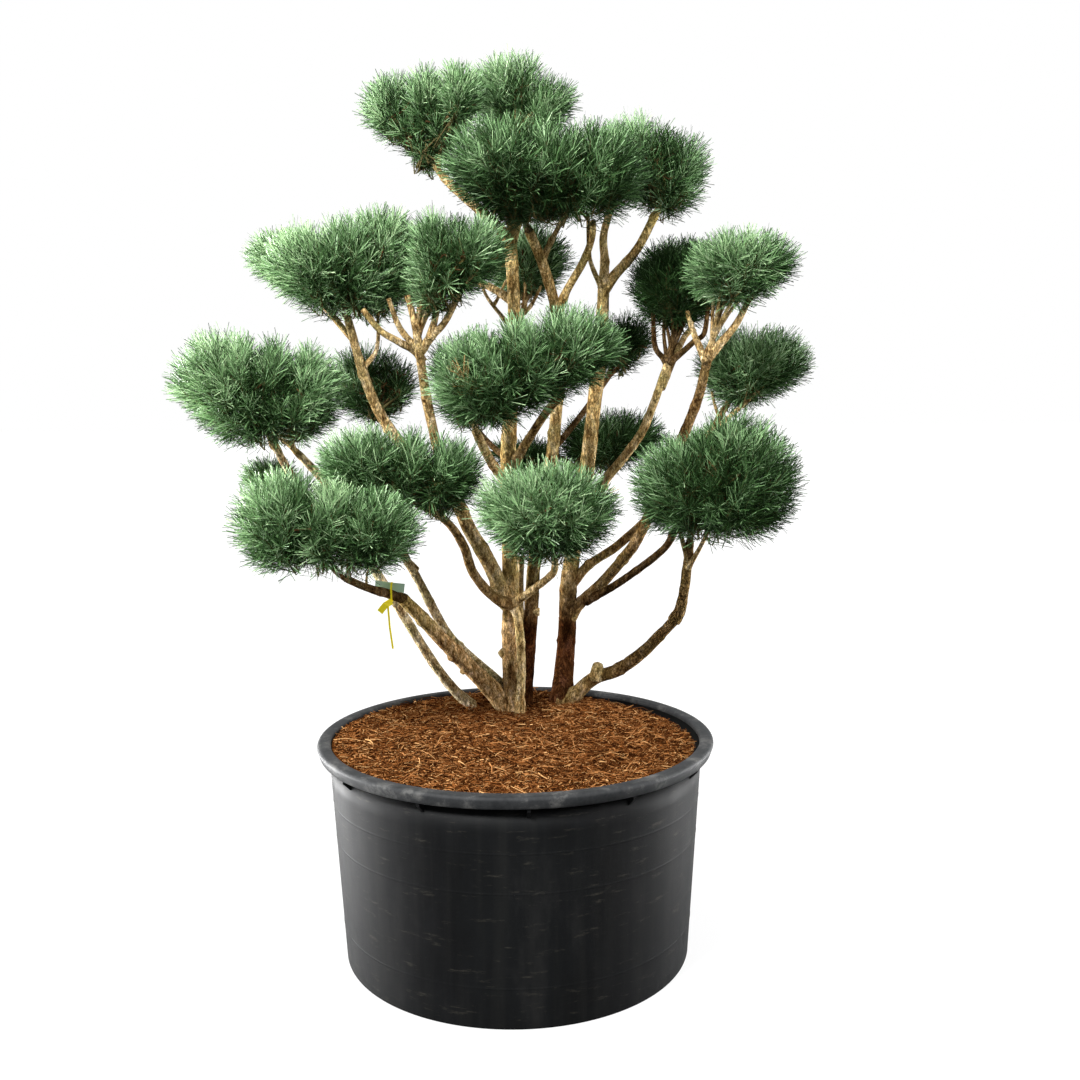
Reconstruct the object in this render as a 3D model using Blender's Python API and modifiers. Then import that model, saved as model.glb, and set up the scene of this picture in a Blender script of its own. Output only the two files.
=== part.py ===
"""Scots pine, many stemmed and clipped into cloud pads, in a round nursery pot.

Metres, +Z up, seen from -Y. The origin is the middle of the pot's flat underside.
"""
import math
from collections import namedtuple

import bmesh
import bpy
import numpy as np
from mathutils import Matrix, Vector

# Pot, in metres
POT_TOP = 0.699
RIM_RADIUS = 0.629
RIM_HEIGHT = 0.038
RIM_EDGE = 0.012
RIM_DRAFT = 0.008
WALL_TOP_RADIUS = 0.591
WALL_FOOT_RADIUS = 0.552
WALL_THICKNESS = 0.006
FOOT_EDGE = 0.007
POT_STEPS = 36
GUSSETS = 12
GUSSET_TURN = math.radians(4.8)
GUSSET_THICKNESS = 0.010
GUSSET_DROP = 0.036
GUSSET_TIP_DROP = 0.010
# Out of round towards its top, as soft plastic gets: the share it narrows from front to back, and a small shift
OVAL_NARROWING = 0.07
OVAL_SHIFT = 0.008

# Growing medium: a rim that leans a little at the wall, banked up to a flat top that the stems stand on
MEDIUM_EDGE = 0.677
MEDIUM_LEAN = -0.025
GROUND = 0.710
BANK_CENTRE = Vector((0.0, 0.277, 0.0))
BANK_RADIUS = 0.215
BANK_RINGS = 3
MEDIUM_CLEAR = 0.0022

# Plant
CLEAR = 0.0003
RING_SPACING = 0.12
STOUT_LIMB = 0.0155
FOOT_BELOW_GROUND = 0.03
HIGH_BARK = 1.6
FLARE = 0.25
FLARE_HEIGHT = 0.05
LOBE_PULL = 1.5
STEM_RADIUS = 0.009
STEM_TO_LIMB = 0.9
STEM_INSIDE = 0.010
STEM_OUTSIDE = 0.020
STEM_BEND = 0.010
CORE_DEPTH = 0.026
CORE_ROUGHNESS = 0.05
SPRAY_LENGTH = 0.080
SPRAY_SPREAD = 0.030
SPRAY_THICKNESS = 0.008
SPRAY_RISE = 0.35
SPRAYS_PER_AREA = 18.0
FEWEST_SPRAYS = 5
SPRAY_TOP = 0.97
SPRAY_BOTTOM = -0.58
SPRAY_PEAK = 0.70
SPRAY_CLEARANCE = 0.012
WOOD_SAMPLES = 0.02
BURIED_DEPTH = 0.90
CROWDED_DEPTH = 1.02
FORKS = 2
FORK_FOOT = 0.70
FORK_OVERLAP = 0.004
FORK_TIP = 0.004
FORK_REACH = 0.50
FORK_DROP = -0.10
SPRAY_OUTLINE = ((0.0, 0.0), (0.80, 1.0), (0.78, 0.30), (1.0, 0.0), (0.78, -0.30), (0.80, -1.0))
SEED = 1906
GOLDEN_ANGLE = math.pi * (3.0 - math.sqrt(5.0))
SHARP_ANGLE = math.radians(35.0)

Limb = namedtuple("Limb", "name foot_radius tip_radius stations")
Pad = namedtuple("Pad", "name bough stem lobes")
Lobe = namedtuple("Lobe", "centre half taper")
Space = namedtuple("Space", "centre half taper pull")

# Each limb runs through its stations from foot to tip; a bough's foot lies inside the limb that
# carries it, and a limb is fitted round every limb listed before it.
LIMBS = (
    Limb("trunk_left", 0.031, 0.02, ((-0.005, 0.23, GROUND), (-0.02, 0.24, 0.9), (-0.018, 0.24, 1.2),
                                     (-0.02, 0.22, 1.53), (-0.013, 0.21, 1.68), (0.006, 0.18, 2.03),
                                     (-0.003, 0.17, 2.27))),
    Limb("trunk_middle", 0.027, 0.0155, ((0.02, 0.29, GROUND), (0.036, 0.31, 0.88), (0.049, 0.31, 1.05),
                                        (0.063, 0.31, 1.21), (0.1, 0.305, 1.385), (0.138, 0.275, 1.7),
                                        (0.144, 0.25, 1.88), (0.14, 0.225, 2.035), (0.1, 0.17, 2.18),
                                        (0.057, 0.11, 2.28))),
    Limb("trunk_right", 0.034, 0.0195, ((0.15, 0.34, GROUND), (0.17, 0.36, 0.94), (0.178, 0.36, 1.12),
                                        (0.21, 0.347, 1.35), (0.244, 0.335, 1.54), (0.268, 0.315, 1.755),
                                        (0.285, 0.28, 1.91), (0.295, 0.24, 2.13))),
    Limb("low_stem_right", 0.025, 0.0175, ((0.13, 0.325, GROUND), (0.175, 0.32, 0.72), (0.26, 0.295, 0.803),
                                          (0.34, 0.27, 0.839), (0.427, 0.235, 0.912), (0.524, 0.17, 1.032))),
    Limb("low_stem_right_top", 0.0185, 0.0145, ((0.522, 0.171, 1.03), (0.54, 0.15, 1.073), (0.548, 0.11, 1.15),
                                              (0.553, 0.06, 1.25), (0.554, 0.025, 1.31))),
    Limb("low_stem_left", 0.033, 0.02, ((-0.032, 0.245, GROUND), (-0.065, 0.24, 0.76), (-0.115, 0.215, 0.822),
                                        (-0.213, 0.15, 0.945), (-0.31, 0.07, 1.079), (-0.354, 0.035, 1.136))),
    Limb("low_bough_left", 0.0145, 0.0105, ((-0.35, 0.035, 1.136), (-0.39, 0.0, 1.158), (-0.454, -0.08, 1.196),
                                            (-0.52, -0.15, 1.249), (-0.558, -0.21, 1.32))),
    Limb("left_stem", 0.017, 0.0125, ((-0.035, 0.25, 0.772), (-0.072, 0.27, 0.809), (-0.161, 0.275, 0.889),
                                      (-0.24, 0.26, 0.981), (-0.341, 0.195, 1.206), (-0.424, 0.16, 1.334),
                                      (-0.541, 0.13, 1.436), (-0.672, 0.045, 1.6))),
    Limb("far_left_stem", 0.018, 0.0125, ((-0.15, 0.28, GROUND), (-0.216, 0.285, 0.769), (-0.297, 0.29, 0.88),
                                          (-0.467, 0.27, 1.176), (-0.61, 0.22, 1.363), (-0.707, 0.15, 1.507),
                                          (-0.755, 0.075, 1.63))),
    Limb("front_stem", 0.0155, 0.0155, ((0.008, 0.19, GROUND), (0.015, 0.195, 0.826), (0.016, 0.19, 0.93),
                                        (0.007, 0.18, 1.034), (-0.012, 0.17, 1.093))),
    Limb("low_bough_centre", 0.0145, 0.01, ((-0.012, 0.17, 1.088), (0.026, 0.14, 1.12), (0.114, 0.04, 1.204),
                                            (0.13, -0.02, 1.247), (0.127, -0.06, 1.285))),
    Limb("upper_bough_left", 0.0275, 0.0135, ((-0.025, 0.235, 1.07), (-0.086, 0.205, 1.22), (-0.151, 0.185, 1.341),
                                            (-0.187, 0.18, 1.418), (-0.31, 0.165, 1.557), (-0.41, 0.145, 1.691),
                                            (-0.465, 0.12, 1.825), (-0.508, 0.083, 2.01))),
    Limb("middle_bough_left", 0.017, 0.0118, ((-0.012, 0.17, 1.088), (-0.069, 0.135, 1.12), (-0.13, 0.09, 1.205),
                                              (-0.16, 0.045, 1.306), (-0.207, -0.02, 1.392),
                                              (-0.286, -0.08, 1.455))),
    Limb("upper_bough_inner", 0.0185, 0.0145, ((-0.165, 0.18, 1.39), (-0.216, 0.15, 1.493), (-0.237, 0.12, 1.586),
                                               (-0.265, 0.05, 1.763), (-0.281, -0.01, 1.932))),
    Limb("top_bough_left", 0.018, 0.014, ((-0.003, 0.17, 2.26), (-0.085, 0.19, 2.341), (-0.175, 0.22, 2.422),
                                          (-0.215, 0.237, 2.462))),
    Limb("top_bough_back", 0.0155, 0.0125, ((0.0, 0.17, 2.25), (0.005, 0.25, 2.406), (0.015, 0.34, 2.58))),
    Limb("top_bough_middle", 0.0145, 0.0098, ((0.14, 0.228, 2.03), (0.18, 0.195, 2.111), (0.225, 0.15, 2.185),
                                              (0.252, 0.09, 2.256), (0.254, 0.05, 2.3))),
    Limb("top_bough_right", 0.0165, 0.0138, ((0.295, 0.243, 2.105), (0.331, 0.25, 2.152), (0.403, 0.26, 2.234),
                                             (0.464, 0.287, 2.345))),
    Limb("top_bough_right_inner", 0.016, 0.0105, ((0.294, 0.243, 2.11), (0.297, 0.24, 2.2), (0.295, 0.245, 2.28),
                                                  (0.33, 0.28, 2.4))),
    Limb("upper_bough_right", 0.0205, 0.0148, ((0.175, 0.36, 0.99), (0.213, 0.355, 1.05), (0.285, 0.33, 1.122),
                                             (0.36, 0.285, 1.219), (0.413, 0.245, 1.306), (0.5, 0.2, 1.525),
                                             (0.581, 0.13, 1.737), (0.614, 0.05, 1.912))),
    Limb("low_bough_right", 0.0135, 0.012, ((0.235, 0.345, 1.062), (0.324, 0.28, 1.124), (0.418, 0.2, 1.207),
                                           (0.49, 0.125, 1.286), (0.518, 0.045, 1.37))),
    Limb("right_bough", 0.0165, 0.0118, ((0.186, 0.36, 1.12), (0.251, 0.36, 1.189), (0.355, 0.37, 1.258),
                                         (0.508, 0.37, 1.407), (0.625, 0.37, 1.576), (0.715, 0.37, 1.73))),
    Limb("upper_bough_right_inner", 0.0165, 0.0125, ((0.235, 0.35, 1.37), (0.298, 0.33, 1.474),
                                                    (0.377, 0.29, 1.578), (0.433, 0.26, 1.672),
                                                    (0.506, 0.23, 1.88))),
    Limb("centre_bough_right", 0.0145, 0.0125, ((-0.005, 0.215, 1.545), (0.064, 0.12, 1.657), (0.112, 0.05, 1.729),
                                               (0.155, -0.03, 1.777))),
    Limb("centre_bough_left", 0.0165, 0.013, ((-0.016, 0.22, 1.465), (-0.075, 0.13, 1.568),
                                              (-0.113, 0.02, 1.667))),
    Limb("rear_bough_top", 0.013, 0.01, ((0.0, 0.17, 2.24), (0.03, 0.28, 2.34), (0.08, 0.42, 2.41),
                                         (0.11, 0.52, 2.4))),
    Limb("rear_bough_left", 0.0135, 0.01, ((0.003, 0.178, 2.07), (-0.1, 0.3, 2.13), (-0.2, 0.44, 2.13),
                                           (-0.32, 0.57, 2.13))),
    Limb("rear_bough_right", 0.0135, 0.01, ((0.482, 0.24, 1.79), (0.525, 0.34, 1.87), (0.58, 0.5, 1.95),
                                            (0.61, 0.57, 1.98))),
    Limb("rear_bough_low_right", 0.011, 0.009, ((0.45, 0.37, 1.345), (0.52, 0.46, 1.37), (0.62, 0.57, 1.4))),
    Limb("rear_bough_low_left", 0.012, 0.009, ((-0.33, 0.198, 1.2), (-0.42, 0.3, 1.28), (-0.48, 0.45, 1.32),
                                               (-0.51, 0.54, 1.34))),
)

# Each pad of needles grows on one stem from its bough; a stem with points of its own leaves the
# side of the limb, and one without goes on from the limb's tip. A pad has one to three lobes.
PADS = (
    Pad("top_pad_left", "top_bough_left", (), (Lobe((-0.284, 0.27, 2.571), (0.095, 0.09, 0.088), 0.3),
                                               Lobe((-0.382, 0.3, 2.663), (0.11, 0.12, 0.135), 0.35),
                                               Lobe((-0.157, 0.22, 2.684), (0.084, 0.11, 0.127), 0.3))),
    Pad("top_pad_back", "top_bough_back", (), (Lobe((0.0, 0.44, 2.749), (0.16, 0.16, 0.134), 0.3),
                                               Lobe((0.105, 0.42, 2.703), (0.113, 0.15, 0.116), 0.3))),
    Pad("top_pad_middle", "trunk_middle", (), (Lobe((-0.018, -0.05, 2.437), (0.189, 0.19, 0.158), 0.4),
                                               Lobe((0.232, 0.0, 2.438), (0.192, 0.155, 0.152), 0.0))),
    Pad("top_pad_right", "top_bough_right", (), (Lobe((0.515, 0.31, 2.48), (0.133, 0.15, 0.152), 0.2),
                                                 Lobe((0.419, 0.32, 2.522), (0.168, 0.155, 0.15), 0.25))),
    Pad("far_left_pad", "upper_bough_left", ((-0.494, 0.1, 1.945), (-0.548, 0.22, 1.99), (-0.685, 0.33, 2.135)),
        (Lobe((-0.775, 0.42, 2.226), (0.136, 0.11, 0.105), 0.2),)),
    Pad("upper_pad_left", "upper_bough_left", (), (Lobe((-0.592, 0.05, 2.166), (0.176, 0.17, 0.143), 0.3),
                                                   Lobe((-0.402, 0.12, 2.184), (0.141, 0.14, 0.183), 0.2))),
    Pad("upper_pad_inner", "upper_bough_inner", (), (Lobe((-0.211, -0.07, 2.174), (0.106, 0.14, 0.155), 0.2),
                                                     Lobe((-0.109, -0.08, 2.193), (0.12, 0.13, 0.128), 0.2))),
    Pad("upper_pad_back", "trunk_left", ((0.005, 0.18, 1.99), (0.02, 0.3, 2.0), (0.035, 0.38, 2.07)),
        (Lobe((0.044, 0.46, 2.212), (0.164, 0.13, 0.135), 0.25),)),
    Pad("left_pad", "left_stem", (), (Lobe((-0.861, 0.0, 1.8), (0.19, 0.2, 0.187), 0.25),
                                      Lobe((-0.675, 0.05, 1.784), (0.162, 0.17, 0.164), 0.15))),
    Pad("left_pad_back", "upper_bough_left", ((-0.33, 0.162, 1.583), (-0.4, 0.27, 1.64), (-0.46, 0.36, 1.7)),
        (Lobe((-0.482, 0.38, 1.806), (0.158, 0.13, 0.137), 0.2),
         Lobe((-0.39, 0.34, 1.8), (0.09, 0.085, 0.1), 0.1))),
    Pad("inner_pad_back", "trunk_left", ((-0.013, 0.22, 1.56), (-0.08, 0.34, 1.6), (-0.14, 0.44, 1.66)),
        (Lobe((-0.17, 0.55, 1.81), (0.152, 0.12, 0.166), 0.3),
         Lobe((-0.243, 0.55, 1.872), (0.08, 0.09, 0.095), 0.2))),
    Pad("centre_pad", "centre_bough_left", (), (Lobe((-0.059, -0.16, 1.829), (0.184, 0.17, 0.158), 0.15),
                                                Lobe((0.175, -0.14, 1.904), (0.174, 0.15, 0.14), 0.25))),
    Pad("centre_pad_back", "trunk_middle", ((0.128, 0.286, 1.59), (0.21, 0.37, 1.68), (0.32, 0.48, 1.82)),
        (Lobe((0.386, 0.54, 1.94), (0.11, 0.1, 0.1), 0.3),)),
    Pad("upper_pad_right_inner", "upper_bough_right_inner", (),
        (Lobe((0.532, 0.24, 2.118), (0.168, 0.14, 0.15), 0.1),)),
    Pad("upper_pad_right", "upper_bough_right", (),
        (Lobe((0.701, -0.02, 2.154), (0.178, 0.15, 0.12), 0.25),)),
    Pad("right_pad", "right_bough", (), (Lobe((0.81, 0.38, 1.852), (0.209, 0.16, 0.142), 0.4),)),
    Pad("low_pad_back", "trunk_middle", ((0.108, 0.3, 1.44), (0.15, 0.42, 1.47), (0.2, 0.5, 1.51)),
        (Lobe((0.34, 0.58, 1.597), (0.196, 0.15, 0.113), 0.25),
         Lobe((0.026, 0.54, 1.553), (0.134, 0.09, 0.06), 0.3))),
    Pad("low_pad_right", "low_stem_right_top", (), (Lobe((0.557, -0.08, 1.498), (0.204, 0.2, 0.176), 0.05),
                                                    Lobe((0.672, -0.09, 1.519), (0.208, 0.2, 0.203), 0.0))),
    Pad("low_pad_centre", "low_bough_centre", (), (Lobe((0.108, -0.22, 1.44), (0.22, 0.18, 0.158), 0.25),)),
    Pad("middle_pad_left", "middle_bough_left", (), (Lobe((-0.425, -0.12, 1.574), (0.173, 0.145, 0.122), 0.15),
                                                     Lobe((-0.212, -0.1, 1.54), (0.14, 0.14, 0.13), 0.1))),
    Pad("low_pad_left", "low_bough_left", (), (Lobe((-0.638, -0.33, 1.431), (0.157, 0.17, 0.155), 0.0),
                                               Lobe((-0.398, -0.33, 1.404), (0.155, 0.15, 0.13), 0.1))),
    Pad("small_pad_left", "far_left_stem", ((-0.64, 0.2, 1.41), (-0.72, 0.27, 1.42), (-0.79, 0.31, 1.44)),
        (Lobe((-0.835, 0.34, 1.494), (0.105, 0.08, 0.075), 0.2),)),
    Pad("rear_pad_top", "rear_bough_top", (), (Lobe((0.12, 0.62, 2.5), (0.2, 0.17, 0.15), 0.3),)),
    Pad("rear_pad_left", "rear_bough_left", (), (Lobe((-0.4, 0.66, 2.23), (0.22, 0.18, 0.14), 0.3),)),
    Pad("rear_pad_right", "rear_bough_right", (), (Lobe((0.6, 0.63, 2.16), (0.18, 0.16, 0.14), 0.3),)),
    Pad("rear_pad_low_right", "rear_bough_low_right", (),
        (Lobe((0.72, 0.67, 1.5), (0.21, 0.18, 0.15), 0.3),)),
    Pad("rear_pad_low_left", "rear_bough_low_left", (),
        (Lobe((-0.54, 0.65, 1.43), (0.19, 0.17, 0.14), 0.3),)),
)

# Colours from the photograph: base colour, roughness
MATERIALS = {
    "pot_plastic": ((0.030, 0.033, 0.037), 0.55),
    "coir": ((0.230, 0.105, 0.045), 0.95),
    "bark_low": ((0.150, 0.095, 0.060), 0.90),
    "bark_high": ((0.300, 0.165, 0.085), 0.85),
    "needles": ((0.055, 0.120, 0.070), 0.65),
    "needles_dark": ((0.035, 0.085, 0.050), 0.70),
}


def clear_scene():
    for item in list(bpy.data.objects):
        bpy.data.objects.remove(item, do_unlink=True)


def collection(name):
    made = bpy.data.collections.new(name)
    bpy.context.scene.collection.children.link(made)
    return made


def paint(item, look):
    """Give the object a Principled material of its own, in the named look."""
    colour, roughness = MATERIALS[look]
    material = bpy.data.materials.new(f"{item.name}_{look}")
    material.use_nodes = True
    shader = material.node_tree.nodes["Principled BSDF"]
    shader.inputs["Base Color"].default_value = (*colour, 1.0)
    shader.inputs["Roughness"].default_value = roughness
    shader.inputs["Metallic"].default_value = 0.0
    item.data.materials.clear()
    item.data.materials.append(material)


def mesh_object(name, bm, group):
    """Turn a bmesh into a named object in the collection."""
    mesh = bpy.data.meshes.new(name)
    bm.to_mesh(mesh)
    bm.free()
    item = bpy.data.objects.new(name, mesh)
    group.objects.link(item)
    return item


def evaluated_mesh(item):
    graph = bpy.context.evaluated_depsgraph_get()
    return bpy.data.meshes.new_from_object(item.evaluated_get(graph))


def remove(item):
    bpy.data.objects.remove(item, do_unlink=True)


def move_origin(item, origin):
    """Put the object's origin at a world point without moving its surface."""
    item.data.transform(Matrix.Translation(-Vector(origin)))
    item.location = origin


def smooth_path(stations, spacing):
    """Sample a Catmull-Rom curve through the stations about every spacing."""
    points = [Vector(station) for station in stations]
    points = [2 * points[0] - points[1]] + points + [2 * points[-1] - points[-2]]
    path = []
    for before, start, end, after in zip(points, points[1:], points[2:], points[3:]):
        steps = max(1, round((end - start).length / spacing))
        for step in range(steps):
            t = step / steps
            path.append(0.5 * (2 * start + (end - before) * t
                               + (2 * before - 5 * start + 4 * end - after) * t ** 2
                               + (3 * start - before - 3 * end + after) * t ** 3))
    return path + [points[-2]]


def limb_radii(limb, path):
    """Taper from foot to tip, with a root flare where the limb leaves the ground."""
    runs = np.cumsum([0.0] + [(b - a).length for a, b in zip(path, path[1:])])
    radii = limb.foot_radius + (limb.tip_radius - limb.foot_radius) * runs / runs[-1]
    if limb.stations[0][2] == GROUND:
        radii = radii * (1.0 + FLARE * np.exp(-runs / FLARE_HEIGHT))
    return radii


def tube(name, path, radii, group, resolution=2):
    """A closed tube along the path, as a mesh with its caps welded on."""
    curve = bpy.data.curves.new(name, "CURVE")
    curve.dimensions = "3D"
    curve.bevel_depth = 1.0
    curve.bevel_resolution = resolution
    curve.use_fill_caps = True
    spline = curve.splines.new("POLY")
    spline.points.add(len(path) - 1)
    for point, place, radius in zip(spline.points, path, radii):
        point.co = (*place, 1.0)
        point.radius = radius
    item = bpy.data.objects.new(name, curve)
    group.objects.link(item)
    bm = bmesh.new()
    bm.from_mesh(evaluated_mesh(item))
    bmesh.ops.remove_doubles(bm, verts=bm.verts, dist=1e-5)
    bmesh.ops.recalc_face_normals(bm, faces=bm.faces)
    remove(item)
    return mesh_object(name, bm, group)


def limb_tube(limb, group, grow=0.0):
    """The limb's tube; grown, it is the cutter that keeps a neighbour clear of it."""
    path = smooth_path(limb.stations, RING_SPACING)
    radii = limb_radii(limb, path) + grow
    if limb.stations[0][2] == GROUND:
        path = [path[0] - Vector((0.0, 0.0, FOOT_BELOW_GROUND))] + path
        radii = np.concatenate(([radii[0]], radii))
    if grow:
        path[0] = path[0] + (path[0] - path[1]).normalized() * grow
        path[-1] = path[-1] + (path[-1] - path[-2]).normalized() * grow
    resolution = 2 if limb.foot_radius > STOUT_LIMB else 1
    return tube(limb.name + ("_cutter" if grow else ""), path, radii, group, resolution)


def hide(item):
    item.hide_render = True
    item.display_type = "WIRE"
    return item


def apply_boolean(item, operation, operand):
    """Apply one Boolean with an object or a whole collection, by MANIFOLD where EXACT leaves nothing."""
    modifier = item.modifiers.new("fit", "BOOLEAN")
    modifier.operation = operation
    if isinstance(operand, bpy.types.Collection):
        modifier.operand_type = "COLLECTION"
        modifier.collection = operand
    else:
        modifier.object = operand
    for solver in ("EXACT", "MANIFOLD"):
        modifier.solver = solver
        mesh = evaluated_mesh(item)
        if len(mesh.polygons):
            break
    item.modifiers.clear()
    item.data = mesh


def keep_main_body(item):
    """Weld the mesh and drop loose scraps and sealed hollows."""
    bm = bmesh.new()
    bm.from_mesh(item.data)
    bmesh.ops.triangulate(bm, faces=bm.faces)
    bmesh.ops.remove_doubles(bm, verts=bm.verts, dist=1e-6)
    bmesh.ops.dissolve_degenerate(bm, edges=bm.edges, dist=1e-6)
    unseen = set(bm.faces)
    bodies = []
    while unseen:
        body = [unseen.pop()]
        for face in body:
            linked = {other for edge in face.edges for other in edge.link_faces} & unseen
            unseen -= linked
            body.extend(linked)
        bodies.append(body)
    bodies.sort(key=body_volume)
    loose = [face for body in bodies[:-1] for face in body]
    bmesh.ops.delete(bm, geom=loose, context="FACES")
    bm.to_mesh(item.data)
    bm.free()


def body_volume(faces):
    """Signed volume inside a closed set of triangles."""
    total = 0.0
    for face in faces:
        a, b, c = (vert.co for vert in face.verts[:3])
        total += a.dot(b.cross(c)) / 6.0
    return total


def build_pot(group, holder):
    """A turned shell with a rolled rim, carried by tapering gussets under the rim."""
    rim_foot = POT_TOP - RIM_HEIGHT
    inner_top = WALL_TOP_RADIUS - WALL_THICKNESS
    inner_foot = WALL_FOOT_RADIUS - WALL_THICKNESS
    profile = [(RIM_RADIUS - RIM_EDGE, POT_TOP), (RIM_RADIUS - 0.3 * RIM_EDGE, POT_TOP - 0.3 * RIM_EDGE),
               (RIM_RADIUS, POT_TOP - RIM_EDGE), (RIM_RADIUS - RIM_DRAFT, rim_foot + 0.5 * RIM_EDGE),
               (RIM_RADIUS - RIM_DRAFT - 0.5 * RIM_EDGE, rim_foot), (WALL_TOP_RADIUS, rim_foot),
               (WALL_FOOT_RADIUS, FOOT_EDGE), (WALL_FOOT_RADIUS - 0.3 * FOOT_EDGE, 0.3 * FOOT_EDGE),
               (WALL_FOOT_RADIUS - FOOT_EDGE, 0.0), (0.0, 0.0), (0.0, WALL_THICKNESS),
               (inner_foot - FOOT_EDGE, WALL_THICKNESS), (inner_foot, FOOT_EDGE),
               (inner_top, rim_foot), (inner_top, POT_TOP - 0.5 * RIM_EDGE),
               (inner_top + 0.5 * RIM_EDGE, POT_TOP)]
    pot = turned("pot", profile, group)
    gussets = collection("pot_gussets")
    for index in range(GUSSETS):
        angle = GUSSET_TURN + 2.0 * math.pi * index / GUSSETS
        inside = WALL_TOP_RADIUS - 0.5 * WALL_THICKNESS
        outside = RIM_RADIUS - RIM_DRAFT - RIM_EDGE
        size = (GUSSET_THICKNESS, outside - inside, GUSSET_DROP + 0.5 * RIM_EDGE)
        middle = Vector((0.0, -0.5 * (outside + inside), rim_foot - 0.5 * GUSSET_DROP + 0.25 * RIM_EDGE))
        bm = bmesh.new()
        bmesh.ops.create_cube(bm, size=1.0, matrix=Matrix.Diagonal((*size, 1.0)))
        for vert in bm.verts:
            if vert.co.y < 0.0 and vert.co.z < 0.0:
                vert.co.z += GUSSET_DROP - GUSSET_TIP_DROP
        turn = Matrix.Rotation(angle, 4, "Z") @ Matrix.Translation(middle)
        bmesh.ops.transform(bm, matrix=turn, verts=bm.verts)
        hide(mesh_object(f"gusset_{index}", bm, gussets))
    apply_boolean(pot, "UNION", gussets)
    for item in list(gussets.objects):
        remove(item)
    bpy.data.collections.remove(gussets)
    keep_main_body(pot)
    press_oval(pot.data.vertices)
    pot.parent = holder
    finish(pot, "pot_plastic")


def press_oval(verts):
    """Press round shapes a little oval from front to back, the more the higher they are."""
    for vert in verts:
        share = vert.co.z / POT_TOP
        vert.co.y = vert.co.y * (1.0 - OVAL_NARROWING * share) + OVAL_SHIFT * share


def turned(name, profile, group):
    """Turn a closed profile in the XZ plane once round Z."""
    bm = bmesh.new()
    verts = [bm.verts.new((radius, 0.0, height)) for radius, height in profile]
    for start, end in zip(verts, verts[1:] + verts[:1]):
        if start.co.x > 0.0 or end.co.x > 0.0:
            bm.edges.new((start, end))
    item = mesh_object(name, bm, group)
    screw = item.modifiers.new("turn", "SCREW")
    screw.axis = "Z"
    screw.steps = POT_STEPS
    screw.render_steps = POT_STEPS
    screw.use_merge_vertices = True
    screw.merge_threshold = 1e-5
    mesh = evaluated_mesh(item)
    item.modifiers.clear()
    item.data = mesh
    return item


def build_medium(group, holder):
    """The filled inside of the pot, banked up behind its middle to the level that the stems stand on."""
    inner_foot = WALL_FOOT_RADIUS - WALL_THICKNESS - MEDIUM_CLEAR
    inner_top = WALL_TOP_RADIUS - WALL_THICKNESS - MEDIUM_CLEAR
    slope = (inner_top - inner_foot) / (POT_TOP - RIM_HEIGHT - FOOT_EDGE)
    lowest_edge = MEDIUM_EDGE - abs(MEDIUM_LEAN) * WALL_TOP_RADIUS
    edge_radius = inner_foot + slope * (lowest_edge - FOOT_EDGE)
    floor = WALL_THICKNESS + CLEAR
    rings = [(inner_foot - FOOT_EDGE, floor, 0.0, 0.0), (inner_foot, FOOT_EDGE + CLEAR, 0.0, 0.0),
             (edge_radius, MEDIUM_EDGE, 0.0, MEDIUM_LEAN)]
    for step in range(1, BANK_RINGS + 1):
        t = step / BANK_RINGS
        rise = t * t * (3.0 - 2.0 * t)
        radius = edge_radius + (BANK_RADIUS - edge_radius) * t
        rings.append((radius, MEDIUM_EDGE + (GROUND - MEDIUM_EDGE) * rise, t, MEDIUM_LEAN * (1.0 - t)))
    bm = bmesh.new()
    loops = []
    for radius, height, shift, lean in rings:
        place = Matrix.Translation(BANK_CENTRE * shift + Vector((0.0, 0.0, height)))
        made = bmesh.ops.create_circle(bm, segments=POT_STEPS, radius=radius, matrix=place)
        for vert in made["verts"]:
            vert.co.z += lean * vert.co.x
        loops.append(made["verts"])
    for low, high in zip(loops, loops[1:]):
        edges = {edge for vert in low + high for edge in vert.link_edges if len(edge.link_faces) < 2}
        rows = [edge for edge in edges if {*edge.verts} <= {*low} or {*edge.verts} <= {*high}]
        bmesh.ops.bridge_loops(bm, edges=rows)
    bm.faces.new(loops[0])
    bm.faces.new(loops[-1])
    press_oval(bm.verts)
    bmesh.ops.recalc_face_normals(bm, faces=bm.faces)
    medium = mesh_object("growing_medium", bm, group)
    medium.parent = holder
    finish(medium, "coir")


def finish(item, look):
    item.data.shade_smooth()
    item.data.set_sharp_from_angle(angle=SHARP_ANGLE)
    paint(item, look)


def boxes_meet(first, second):
    """Do the two objects' boxes touch? Both lie at the origin with no scale."""
    a = np.array([vert.co for vert in first.data.vertices])
    b = np.array([vert.co for vert in second.data.vertices])
    return bool(np.all(a.min(axis=0) <= b.max(axis=0)) and np.all(b.min(axis=0) <= a.max(axis=0)))


def build_limbs(group, tools, holder):
    """Grow each limb, fit it round the ones before it and cut its foot flat at the ground."""
    bm = bmesh.new()
    size = Matrix.Diagonal((3.0, 3.0, GROUND, 1.0))
    place = Matrix.Translation((0.0, 0.0, 0.5 * GROUND + CLEAR))
    bmesh.ops.create_cube(bm, size=1.0, matrix=place @ size)
    ground = hide(mesh_object("ground_cutter", bm, tools))
    cutters = []
    limbs = {}
    for limb in LIMBS:
        item = limb_tube(limb, group)
        for cutter in cutters:
            if boxes_meet(item, cutter):
                apply_boolean(item, "DIFFERENCE", cutter)
        if limb.stations[0][2] == GROUND:
            apply_boolean(item, "DIFFERENCE", ground)
        keep_main_body(item)
        cutters.append(hide(limb_tube(limb, tools, CLEAR)))
        limbs[limb.name] = item
        look = "bark_high" if limb.stations[-1][2] > HIGH_BARK else "bark_low"
        finish(item, look)
        item.parent = holder
    return limbs, cutters


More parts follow.
